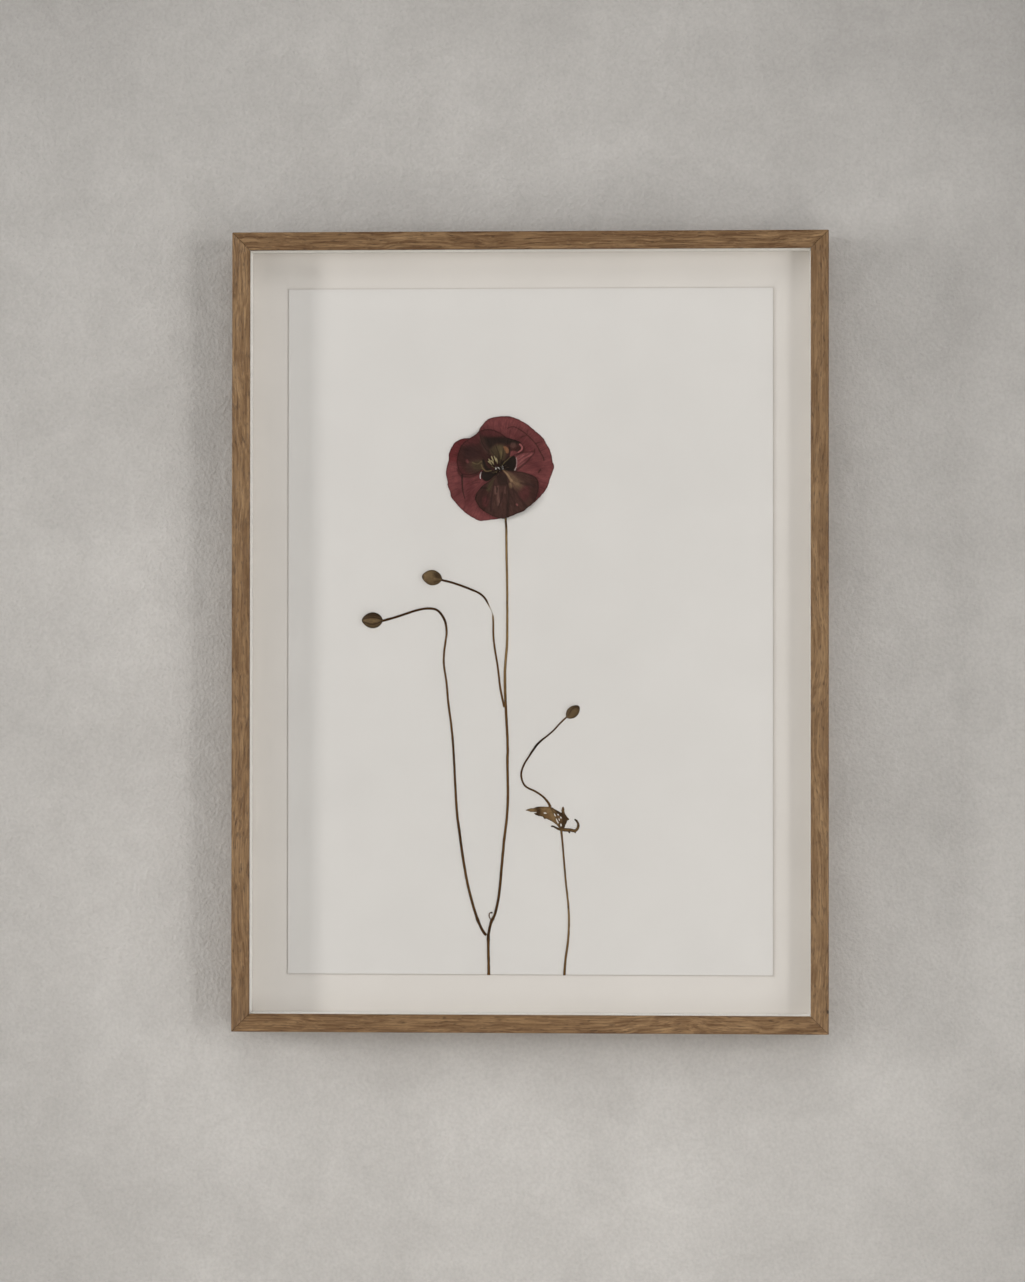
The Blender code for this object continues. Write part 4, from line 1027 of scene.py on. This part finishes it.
# A small broken shoot below the fork, and one at the bract's foot
BASE_SPUR = [(-25.4, -187.4), (-24.9, -188.1), (-24.4, -188.9)]
BRACT_SPUR = [(-23.2, -176.6), (-22.2, -176.2), (-21.4, -176.0)]
RESTS = 0.04


FLAT = [(0, RESTS), (1, RESTS)]


def stem(name, parts, shift=(0, 0), hairs=None, dice=None):
    """One piece of stem. parts are (points, widths, thickness, tint stops, seed, settings) tubes, and
    hairs is (share of the length, hairs per mm, lengths, stem width, height) on the last of them."""
    shell = Shell(shift)
    for points, widths, thickness, tint_stops, seed, settings in parts:
        line = tube(shell, points, widths, FLAT, thickness, tint_stops, seed, **settings)
    if hairs:
        share, *look = hairs
        hairs_along(shell, line[:int(len(line) * share)], *look, tone("hair"), dice)
    shell.finish(f"dried_{name}", STEM_MATERIAL, [name])


def build_stems():
    dice = random.Random(7)
    stem("main_stem", [(
        MAIN_STEM, [(0, 1.3), (0.12, 1.45), (0.3, 1.4), (0.45, 1.65), (0.65, 1.55), (1, 1.7)],
        [(0, 0.55), (0.075, 0.62), (0.11, 1.1), (1, 1.2)],
        [(0, "olive_light"), (0.095, "olive_light"), (0.105, "stem_dark"), (0.13, "stem_light"),
         (0.42, "stem_light"), (0.5, "stem"), (0.75, "stem"), (1, "stem_dark")],
        2.0, dict(sides=18, edge=0.4, knots=[(0.62, 0.18, 1.0), (0.7, 0.16, 0.9), (0.965, 0.3, 1.6)]),
    )], MAIN_STEM_SHIFT)
    stem("base_stem", [
        (
            BASE_STEM, [(0, 2.0), (0.15, 1.75), (0.85, 1.8), (1, 2.0)], [(0, 1.2), (1, 1.25)],
            [(0, "stem_dark"), (0.25, "stem"), (1, "stem")], 5.0, dict(sides=18, knots=[(0.1, 0.3, 1.2)]),
        ),
        (
            BASE_SPUR, [(0, 0.7), (1, 0.4)], [(0, 0.7), (1, 0.4)], [(0, "stem_dark"), (1, "stem")],
            6.0, dict(spacing=0.3),
        ),
    ])
    stem("left_bud_stem", [(
        LEFT_BUD_STEM, [(0, 1.5), (0.18, 1.45), (0.23, 1.25), (0.45, 1.35), (0.7, 1.6), (1, 1.7)],
        [(0, 0.8), (1, 1.1)],
        [(0, "stem_dark"), (0.18, "stem_dark"), (0.22, "stem"), (0.45, "stem"), (0.52, "stem_dark"),
         (0.66, "stem"), (0.73, "stem_dark"), (0.85, "stem"), (1, "stem_dark")],
        9.0, dict(knots=[(0.955, 0.35, 1.6), (0.29, 0.2, 0.9)]),
    )], LEFT_STEM_SHIFT, (0.42, 0.7, (0.7, 1.4), 1.3, 0.45), dice)
    stem("upper_bud_stem", [(
        UPPER_BUD_STEM, [(0, 1.4), (0.32, 1.3), (0.35, 0.8), (0.405, 0.6), (0.43, 1.2), (1, 1.35)],
        [(0, 0.8), (0.32, 0.8), (0.35, 0.4), (0.405, 0.35), (0.43, 0.8), (1, 1.0)],
        [(0, "stem_dark"), (0.325, "stem_dark"), (0.35, "stem_light"), (0.375, "stem_pale"),
         (0.405, "stem_pale"), (0.43, "stem_light"), (0.5, "stem"), (1, "stem")], 14.0, {},
    )], (0, 0), (0.34, 0.7, (0.7, 1.3), 1.2, 0.45), dice)
    stem("right_bud_stem", [(
        RIGHT_BUD_STEM, [(0, 1.0), (0.22, 1.0), (0.36, 1.5), (0.46, 1.2), (0.9, 1.2), (1, 1.7)],
        [(0, 0.7), (1, 0.95)],
        [(0, "stem"), (0.26, "stem_dark"), (0.36, "black"), (0.46, "stem_dark"), (1, "stem")], 19.0, {},
    )], (0, 0), (0.35, 0.5, (0.6, 1.1), 0.9, 0.4), dice)
    stem("right_stem", [(
        RIGHT_STEM, [(0, 1.5), (0.06, 1.15), (0.4, 1.2), (0.95, 1.5), (1, 1.6)], [(0, 0.95), (1, 1.1)],
        [(0, "leaf"), (0.1, "stem"), (0.6, "stem_light"), (1, "stem")], 24.0, dict(sides=16),
    )])
    stem("bract", [
        (
            BRACT, [(0, 0.5), (0.4, 0.75), (0.8, 0.7), (0.92, 1.1), (1, 0.9)], [(0, 0.9), (1, 0.9)],
            [(0, "stem"), (0.8, "stem"), (0.9, "black"), (1, "black")], 28.0, dict(spacing=0.25),
        ),
        (
            BRACT_SPUR, [(0, 0.8), (1, 0.25)], [(0, 0.8), (1, 0.3)], [(0, "stem_dark"), (1, "stem")],
            31.0, dict(spacing=0.25),
        ),
    ])


BUD_SIDES = 64
BUD_RINGS = 46


def bud(name, middle, length, width, thickness, angle, base, strokes, seed, hairs, shift):
    """A pressed bud: two hairy sepals, ribbed lengthwise, closed at a blunt tip."""
    ahead = np.array([math.cos(angle), math.sin(angle)])
    across = np.array([-ahead[1], ahead[0]])
    along = np.linspace(0.008, 0.992, BUD_RINGS)
    swell = np.sin(math.pi * along ** 0.92) ** 0.6
    turns = 2 * math.pi * np.arange(BUD_SIDES) / BUD_SIDES
    grid_along, grid_turn = np.meshgrid(along, turns, indexing="ij")
    ribs = 0.035 * np.cos(16 * grid_turn) + 0.03 * noise_at(
        np.cos(grid_turn) * 3.0, np.sin(grid_turn) * 3.0, grid_along * 2 + seed).reshape(grid_turn.shape)
    seam = -0.07 * np.exp(-((grid_turn - 1.25) / 0.09) ** 2) - 0.06 * np.exp(-((grid_turn - 2.0) / 0.09) ** 2)
    radius = swell[:, None] * (1 + ribs + seam)
    sideways = width / 2 * radius * np.cos(grid_turn)
    heights = RESTS + thickness / 2 * (1.02 + radius * np.sin(grid_turn))
    u = middle[0] + ahead[0] * length * (grid_along - 0.5) + across[0] * sideways
    v = middle[1] + ahead[1] * length * (grid_along - 0.5) + across[1] * sideways
    spots = np.stack([u.ravel(), v.ravel()], axis=1)
    tints = paint(spots, base, strokes)
    # Painted shade: the bud's flanks, turned away from the front, are darkened
    edge = np.abs(np.cos(grid_turn)).ravel() ** 3
    tints *= (1 - 0.42 * edge)[:, None]
    tints *= (1 + 0.12 * noise_at(u.ravel() * 1.2, v.ravel() * 1.2, seed))[:, None]
    fibres = np.stack([grid_turn * 2.0, grid_along * length, np.full_like(grid_turn, seed)], axis=-1)
    shell = Shell(shift)
    shell.add_rings(on_sheet(u, v, heights), tints.reshape(*u.shape, 3), fibres)
    dice = random.Random(int(seed))
    for _ in range(hairs):
        i = dice.randrange(3, BUD_RINGS - 2)
        j = dice.randrange(BUD_SIDES)
        if math.sin(turns[j]) < -0.35:
            continue
        out = np.array([*(across * math.cos(turns[j])), math.sin(turns[j]) * 0.6])
        way = out * dice.uniform(0.2, 0.5) + np.array([*ahead, 0.0]) * dice.uniform(0.5, 1.0)
        root = (u[i, j], v[i, j], heights[i, j])
        hair(shell, root, way / np.linalg.norm(way), dice.uniform(0.5, 1.0), 0.03, tone("bud_light"),
             dice.uniform(0, 99))
    shell.finish(f"dried_{name}", BUD_MATERIAL, [name])


def build_buds():
    bud(
        "left_bud", (-96.5, 7.0), 13.0, 9.5, 4.4, math.radians(180), "bud",
        [
            ("bud_dark", 0.9, 4.4, 4.4, 0.6, [(-101, 11.0), (-92.5, 10.8)]),
            ("bud_light", 0.9, 2.2, 2.2, 0.8, [(-101, 6.8), (-93, 6.6)]),
            ("bud_dark", 0.95, 0.8, 0.8, 0.6, [(-102.5, 7.6), (-96.5, 8.7), (-90.6, 7.6)]),
            ("bud_dark", 0.95, 0.8, 0.8, 0.6, [(-102.5, 6.2), (-96.5, 4.6), (-90.6, 6.2)]),
            ("bud_dark", 0.75, 2.0, 2.0, 0.7, [(-103.4, 8.6), (-103.4, 5.4)]),
        ], 41.0, 200, LEFT_BUD_SHIFT,
    )
    bud(
        "upper_bud", (-60.2, 33.3), 12.6, 9.2, 4.4, math.radians(171), "bud_light",
        [
            ("bud", 0.6, 4.0, 4.0, 0.9, [(-63, 30.5), (-58, 31)]),
            ("bud_dark", 0.75, 1.2, 4.5, 0.8, [(-54.0, 32.4), (-57.0, 34.6)]),
            ("bud_dark", 0.6, 0.6, 1.2, 0.8, [(-53.8, 31.8), (-58.4, 30.6)]),
            ("bud_light", 0.7, 0.5, 0.8, 0.7, [(-54.0, 32.1), (-58.6, 32.8)]),
            ("bud_dark", 0.85, 2.2, 2.2, 0.6, [(-66.3, 35.2), (-66.1, 33.4)]),
        ], 43.0, 170, (0, 0),
    )
    bud(
        "right_bud", (26.2, -49.2), 10.4, 6.8, 3.4, math.radians(43), "bud",
        [
            ("bud_light", 0.5, 2.0, 2.6, 0.9, [(24.6, -51.4), (27.4, -49.4)]),
            ("bud_dark", 0.8, 2.2, 2.6, 0.7, [(28.4, -45.6), (30.0, -46.2)]),
            ("bud_dark", 0.75, 0.6, 0.9, 0.7, [(23.4, -51.4), (25.6, -47.6), (28.6, -45.8)]),
        ], 47.0, 90, RIGHT_BUD_SHIFT,
    )


LEAF = [
    (-2.8, -109.0), (0.2, -107.9), (2.4, -107.6), (3.9, -107.0), (5.6, -106.8), (8.0, -106.8),
    (11.0, -106.8), (12.8, -106.9), (15.2, -108.3), (17.4, -109.5), (19.2, -110.6), (19.2, -109.0),
    (19.7, -107.2), (20.3, -106.8), (20.8, -107.6), (21.1, -109.4), (21.4, -111.0), (22.6, -112.8),
    (24.0, -114.7), (22.8, -115.3), (22.4, -116.8), (21.4, -118.8), (20.9, -120.4), (19.8, -121.2),
    (18.4, -120.7), (17.2, -119.0), (15.6, -117.4), (13.6, -116.0), (11.8, -115.0), (10.0, -114.2),
    (9.1, -114.5), (8.4, -114.2), (8.2, -113.4), (6.6, -112.7), (5.0, -112.4), (3.4, -111.8),
    (2.4, -111.0), (3.4, -110.6), (4.0, -110.2), (2.0, -110.1), (0.4, -110.1), (-1.4, -109.5),
]
LEAF_HOLES = [
    [(8.3, -110.5), (9.4, -110.4), (10.2, -110.9), (9.4, -111.2), (8.6, -111.0)],
    [(14.6, -111.0), (15.2, -111.3), (15.8, -112.4), (15.5, -112.8), (14.9, -112.1)],
    [(16.7, -111.1), (17.4, -111.4), (17.9, -112.1), (17.3, -112.2), (16.8, -111.7)],
    [(18.5, -112.8), (19.2, -113.2), (19.3, -114.0), (18.8, -114.1), (18.4, -113.4)],
    [(15.9, -114.2), (16.4, -114.4), (17.5, -116.6), (17.3, -117.1), (16.8, -116.7), (16.1, -115.3)],
    [(18.5, -117.4), (19.1, -117.3), (19.5, -118.2), (19.2, -118.9), (18.6, -118.7)],
    [(17.6, -113.9), (18.1, -114.4), (18.2, -115.5), (17.8, -115.4), (17.5, -114.6)],
]
LEAF_LOBE = [
    (12.9, -118.9), (14.2, -118.9), (15.6, -119.6), (17.6, -120.5), (20.4, -120.9), (24.7, -121.1),
    (27.3, -121.5), (29.0, -120.2), (29.6, -118.0), (29.1, -116.3), (28.0, -115.0),
    (27.2, -114.7),
]
LEAF_BARBS = [
    [(23.4, -121.3), (24.0, -122.4), (24.5, -123.1)],
    [(26.8, -121.4), (27.5, -122.3), (28.0, -123.0)],
    [(19.9, -121.0), (19.3, -121.8), (19.3, -122.8)],
]
LEAF_SPACING = 0.3
LEAF_STROKES = [
    ("leaf_light", 0.6, 3.4, 4.4, 0.8, [(9.5, -108.8), (13.0, -110.6), (15.0, -114.0)]),
    ("leaf_dark", 0.9, 2.4, 2.4, 0.7, [(4.6, -107.6), (5.4, -110.4), (4.6, -111.6)]),
    ("leaf_dark", 0.9, 2.6, 4.0, 0.7, [(17.0, -110.2), (21.2, -113.6), (20.6, -118.8)]),
    ("leaf_dark", 0.6, 0.8, 0.8, 0.7, [(13.0, -107.6), (16.0, -109.4), (20.4, -112.0)]),
    ("leaf_light", 0.5, 1.6, 1.2, 0.8, [(-1.4, -109.0), (2.4, -108.8)]),
    ("leaf_dark", 0.6, 0.8, 0.8, 0.8, [(8.6, -113.2), (4.6, -111.8)]),
    ("leaf_dark", 0.5, 0.6, 0.8, 0.8, [(12.6, -108.0), (15.6, -112.4), (18.8, -119.4)]),
    ("leaf_dark", 0.5, 0.5, 0.6, 0.8, [(12.8, -108.2), (16.6, -112.6), (19.6, -117.8)]),
]
LEAF_CREASES = [
    (0.3, 0.5, [(12.8, -107.4), (16.0, -109.4), (20.4, -112.2), (21.4, -117.0), (20.0, -120.6)]),
    (0.22, 0.4, [(12.8, -108.0), (15.6, -112.2), (18.6, -119.4)]),
    (0.2, 0.35, [(13.2, -108.0), (17.2, -113.0), (19.6, -118.4)]),
    (0.2, 0.4, [(12.0, -107.6), (8.0, -108.8), (3.0, -108.6), (-2.0, -109.0)]),
    (0.16, 0.4, [(12.2, -108.6), (11.0, -112.0), (9.0, -113.8)]),
]


def build_leaf():
    ragged = even_line(LEAF, LEAF_SPACING, closed=True)
    ragged = ragged + 0.22 * np.stack(
        [noise_at(ragged[:, 0] * 1.4, ragged[:, 1] * 1.4, seed) for seed in (21.0, 22.0)], axis=1)
    spots, faces = thin_sheet(ragged, LEAF_HOLES, LEAF_SPACING)
    u, v = spots.T
    heights = 0.42 + 0.16 * noise_at(u * 0.6, v * 0.6, 4.0) + 0.05 * noise_at(u * 2.0, v * 2.0, 8.0)
    for depth, width, points in LEAF_CREASES:
        heights += crease(spots, points, width, depth)
    edges = line_reach(spots, np.vstack([LEAF, LEAF[:1]]))[0]
    heights += 0.12 * (1 - smooth_step(0.1, 0.8, edges)) * (0.6 + noise_at(u, v, 2.0))
    heights = np.clip(heights, 0.2, 1.2)
    tints = paint(spots, "leaf", LEAF_STROKES)
    tints *= (1 + 0.26 * noise_at(u * 0.9, v * 0.9, 6.0) - 0.3 * (1 - smooth_step(0.1, 0.6, edges)))[:, None]
    places, solid = closed_sheet(spots, faces, heights, 0.14)
    root = np.array([12.4, -106.6])
    turn = np.arctan2(v - root[1], u - root[0])
    reach = np.hypot(u - root[0], v - root[1])
    fibres = np.stack([turn, reach, np.full(len(u), 3.0)], axis=1)
    finish_piece("dried_leaf", places, solid, np.vstack([tints, tints]), np.vstack([fibres, fibres]),
                 LEAF_MATERIAL, ["leaf"])

    shell = Shell()
    flat = [(0, 0.1), (1, 0.1)]
    tube(
        shell, LEAF_LOBE, [(0, 1.0), (0.15, 1.2), (0.4, 2.2), (0.6, 1.8), (0.8, 1.6), (0.93, 1.3), (1, 0.9)],
        flat, [(0, 0.5), (0.4, 0.9), (1, 0.5)],
        [(0, "leaf_dark"), (0.4, "leaf"), (0.7, "leaf"), (1, "leaf_dark")], 52.0, spacing=0.35,
    )
    for number, barb in enumerate(LEAF_BARBS):
        tube(shell, barb, [(0, 1.6), (0.6, 1.1), (1, 0.4)], flat, [(0, 0.6), (1, 0.25)],
             [(0, "leaf"), (1, "leaf_dark")], 54.0 + number, spacing=0.25)
    shell.finish("dried_leaf_lobe", LEAF_MATERIAL, ["leaf"])


STAMEN_COUNT = 30
# The tip and the root of each pale stamen
PALE_STAMENS = [
    ((-25.9, 105.7), (-24.5, 102.2)), ((-24.3, 107.3), (-22.8, 103.0)), ((-22.6, 107.4), (-21.3, 103.4)),
    ((-24.6, 104.7), (-22.6, 101.8)), ((-26.4, 104.2), (-23.6, 101.5)), ((-21.3, 106.2), (-20.5, 102.4)),
]
# The middle, direction and size of each pale crumb on the pistil
CRUMBS = [
    ((-21.4, 99.6), (0.1, 1.0), 1.1), ((-19.9, 100.0), (0.8, -0.55), 0.9),
    ((-19.2, 99.4), (0.5, 0.9), 0.5),
]


def build_flower_centre():
    """The flattened stamens, fanned to the upper left over a dark pistil with a few pale crumbs."""
    dice = random.Random(5)
    shell = Shell(FLOWER_SHIFT)
    floor = 2.15
    for number in range(STAMEN_COUNT):
        angle = math.radians(dice.uniform(-20, 265))
        reach = dice.uniform(2.2, 5.6)
        start = np.array(FLOWER) + 0.9 * np.array([math.cos(angle), math.sin(angle)])
        way = np.array([math.cos(angle + dice.uniform(-0.12, 0.12)), math.sin(angle)])
        side = np.array([-way[1], way[0]]) * dice.uniform(-0.5, 0.5)
        middle = start + way * reach * 0.5 + side
        level = floor + dice.uniform(0.0, 0.35)
        colour = dice.choice(("olive", "soot", "olive", "black", "olive_light"))
        tube(
            shell, [start, middle, start + way * reach], [(0, 0.16), (0.6, 0.26), (0.85, 0.5), (1, 0.24)],
            [(0, level), (1, level)], [(0, 0.3), (0.8, 0.4), (1, 0.25)], [(0, colour), (1, colour)],
            60.0 + number, sides=8, spacing=0.45, edge=0.35,
        )
    for number, (tip, root) in enumerate(PALE_STAMENS):
        middle = (np.array(tip) + np.array(root)) / 2 + np.array([0.15, 0.1])
        tube(
            shell, [root, middle, tip], [(0, 0.3), (0.35, 0.75), (0.75, 0.95), (1, 0.4)],
            [(0, 2.6), (1, 2.6)], [(0, 0.3), (0.7, 0.5), (1, 0.3)],
            [(0, "olive_light"), (0.4, "straw"), (1, "straw")], 100.0 + number,
            sides=10, spacing=0.3, edge=0.5,
        )
    lobes = 11
    turns = np.linspace(0, 2 * math.pi, 48, endpoint=False)
    rings, tints, fibres = [], [], []
    for share, height in ((1.0, 2.15), (1.08, 2.5), (0.8, 2.85), (0.4, 2.95), (0.1, 2.8)):
        radius = 1.25 * share * (1 + 0.1 * np.cos(lobes * turns) + 0.12 * noise_at(
            np.cos(turns), np.sin(turns), 3.3))
        u = FLOWER[0] + radius * np.cos(turns)
        v = FLOWER[1] + radius * np.sin(turns) * 0.85
        rings.append(on_sheet(u, v, np.full(len(turns), height)))
        tints.append(np.tile(tone("black"), (len(turns), 1)))
        fibres.append(np.stack([turns, radius, turns * 0], axis=1))
    shell.add_rings(np.array(rings), np.array(tints), np.array(fibres))
    for place, way, size in CRUMBS:
        start = np.array(place) - np.array(way) * size * 0.7
        end = np.array(place) + np.array(way) * size * 0.7
        tube(shell, [start, place, end], [(0, 0.2), (0.5, size * 0.7), (1, 0.2)], [(0, 2.8), (1, 2.8)],
             [(0, 0.15), (0.5, 0.3), (1, 0.15)], [(0, "chalk"), (1, "chalk")], 120.0 + size, sides=8,
             spacing=0.25, edge=0.2)
    shell.finish("dried_flower_centre", CENTRE_MATERIAL, ["flower_centre"])


# Stage, lights and camera


WALL_Y = 0.0006
WALL_SIZE = 3.4
FLOOR_Z = -1.3
# Painted light: the wall's colour is a little darker away from this place, by the square of the distance
# times the scale, as a painted falloff of light
WALL_LIGHT_POOL = (-0.05, 0, CENTRE_Z - 0.17)
WALL_LIGHT_FALLOFF = (1.15, 0, 0.8)
WALL_DARK = (191, 187, 182)
WALL_LIGHT = (203, 199, 194)


def flat_stage(name, corners, made):
    mesh = bpy.data.meshes.new(name)
    mesh.from_pydata(corners, [], [(0, 1, 2, 3)])
    mesh.materials.append(made)
    obj = bpy.data.objects.new(name, mesh)
    bpy.context.scene.collection.objects.link(obj)
    return obj


def build_stage():
    """A pale wall with a painted falloff of light, and a plain pale floor. The wall shows from its front
    alone, so the back can be seen.
    """
    plaster, tree, shader = material("plaster", Roughness=0.95, Specular_IOR_Level=0.2)
    place = object_place(tree)
    patches = cloud(tree, place, (8, 8, 8), detail=5, roughness=0.6)
    grit = cloud(tree, place, (480, 480, 480), detail=2, roughness=0.6)
    swirl = cloud(tree, place, (34, 34, 34), detail=4, distortion=1.0)
    patches = spread(tree, patches, 0.3, 0.7, 0, 1)
    colour = blend(tree, patches, linear(WALL_DARK), linear(WALL_LIGHT))
    colour = dim(tree, colour, spread(tree, swirl, 0.3, 0.7, 0.96, 1.03))
    colour = dim(tree, colour, spread(tree, grit, 0.3, 0.7, 0.945, 1.05))
    # Painted light: the wall's colour falls off from a bright pool, down to half
    apart = scaled(tree, offset_from(tree, place, WALL_LIGHT_POOL), WALL_LIGHT_FALLOFF)
    away = node(tree, "ShaderNodeVectorMath", {0: apart}, operation="LENGTH").outputs["Value"]
    fade = math_node(tree, "MULTIPLY", away, away)
    tree.links.new(dim(tree, colour, spread(tree, fade, 0, 0.5, 1, 0.5)), shader.inputs["Base Color"])
    height = math_node(tree, "ADD", grit, math_node(tree, "MULTIPLY", swirl, 2.0))
    bump(tree, shader, height, 0.0008, 0.8)
    behind = node(tree, "ShaderNodeNewGeometry").outputs["Backfacing"]
    clear = node(tree, "ShaderNodeBsdfTransparent").outputs[0]
    mixed = node(tree, "ShaderNodeMixShader", {0: behind, 1: shader.outputs[0], 2: clear})
    tree.links.new(mixed.outputs[0], tree.nodes["Material Output"].inputs["Surface"])
    half = WALL_SIZE / 2
    low, high = FLOOR_Z, FLOOR_Z + WALL_SIZE
    upright = [(-half, low), (half, low), (half, high), (-half, high)]
    wall = flat_stage("wall", [(x, WALL_Y, z) for x, z in upright], plaster)
    wall.visible_shadow = False
    wall.visible_diffuse = False
    pale = board("pale_floor", (206, 202, 196), (200, 196, 190), 200, 0.0002)
    level = [(-half, -WALL_SIZE), (half, -WALL_SIZE), (half, WALL_SIZE), (-half, WALL_SIZE)]
    flat_stage("floor", [(x, y, low) for x, y in level], pale)


# Azimuth to the right of straight ahead of the glass, elevation, width and height in degrees, the
# distance, the share of the light on the sheet, and whether gloss and glass mirror it
LIGHTS = {
    "window_left": (-69, 6, 5, 20, 3.0, 0.185, True),
    "window_left_near": (-20, 5, 8, 16, 3.0, 0.03, False),
    "left_wide": (-45, 0, 30, 30, 3.0, 0.12, False),
    "window_right": (39.5, 4, 7, 20, 3.0, 0.08, True),
    "right_wide": (50, 0, 30, 30, 3.0, 0.25, False),
    "right_low": (35, -30, 20, 20, 1.3, 0.1, False),
    "above": (0, 52, 40, 24, 2.5, 0.185, False),
    "front_high": (2, 26, 30, 30, 3.0, 0.1, False),
    "rear_left": (-166, 4, 14, 20, 3.0, 0.5, True),
    "rear_right": (168, 12, 14, 20, 3.0, 0.6, True),
}
FULL_LIGHT = 0.86
WORLD_LIGHT = 0.03
# How bright the empty space beyond the stage looks, which only shows in views from behind
WORLD_SEEN = 0.5


def build_lights():
    centre = Vector((0, 0, CENTRE_Z))
    for name, (azimuth, elevation, width, height, distance, share, mirrored) in LIGHTS.items():
        turn, rise = math.radians(azimuth), math.radians(elevation)
        way = Vector((math.sin(turn) * math.cos(rise), -math.cos(turn) * math.cos(rise), math.sin(rise)))
        lamp = bpy.data.lights.new(name, "AREA")
        lamp.shape = "RECTANGLE"
        lamp.size = 2 * distance * math.tan(math.radians(width / 2))
        lamp.size_y = 2 * distance * math.tan(math.radians(height / 2))
        lamp.energy = FULL_LIGHT * (math.pi * distance) ** 2 * share / abs(way.y)
        obj = bpy.data.objects.new(name, lamp)
        obj.location = centre + way * distance
        obj.rotation_euler = (-way).to_track_quat("-Z", "Y").to_euler()
        obj.visible_glossy = mirrored
        obj.visible_transmission = mirrored
        bpy.context.scene.collection.objects.link(obj)
    world = bpy.data.worlds.new("studio")
    world.use_nodes = True
    tree = world.node_tree
    background = tree.nodes["Background"]
    background.inputs["Color"].default_value = (1, 1, 1, 1)
    seen = node(tree, "ShaderNodeLightPath").outputs["Is Camera Ray"]
    tree.links.new(spread(tree, seen, 0, 1, WORLD_LIGHT, WORLD_SEEN), background.inputs["Strength"])
    bpy.context.scene.world = world
    bpy.context.scene.view_settings.view_transform = "Standard"


def build_camera():
    lens = bpy.data.cameras.new("camera")
    lens.lens = CAMERA_LENS
    lens.sensor_width = 36
    lens.clip_start = 0.05
    lens.clip_end = 50
    camera = bpy.data.objects.new("camera", lens)
    camera.location = CAMERA_PLACE
    camera.rotation_euler = CAMERA_TURN
    bpy.context.scene.collection.objects.link(camera)
    bpy.context.scene.camera = camera


PETAL_MATERIALS = {
    base: dried(f"petal_{base}", (26, 0.35, 1), contrast, 0.00008)
    for base, contrast in (("wine", 0.16), ("maroon", 0.2), ("umber", 0.2))
}
STEM_MATERIAL = dried("dry_stem_fibres", (9, 0.5, 1), 0.26, 0.00008)
BUD_MATERIAL = dried("dry_bud_sepals", (3.4, 0.5, 1), 0.24, 0.0001)
LEAF_MATERIAL = dried("dry_leaf_veins", (14, 0.7, 1), 0.28, 0.0001)
CENTRE_MATERIAL = dried("dry_stamens", (6, 1, 1), 0.2, 0.00005)

dress_frame()
glue_and_shadow_line()
for petal_name, settings in PETALS.items():
    petal(petal_name, **settings)
build_stems()
build_buds()
build_leaf()
build_flower_centre()
build_stage()
build_lights()
build_camera()
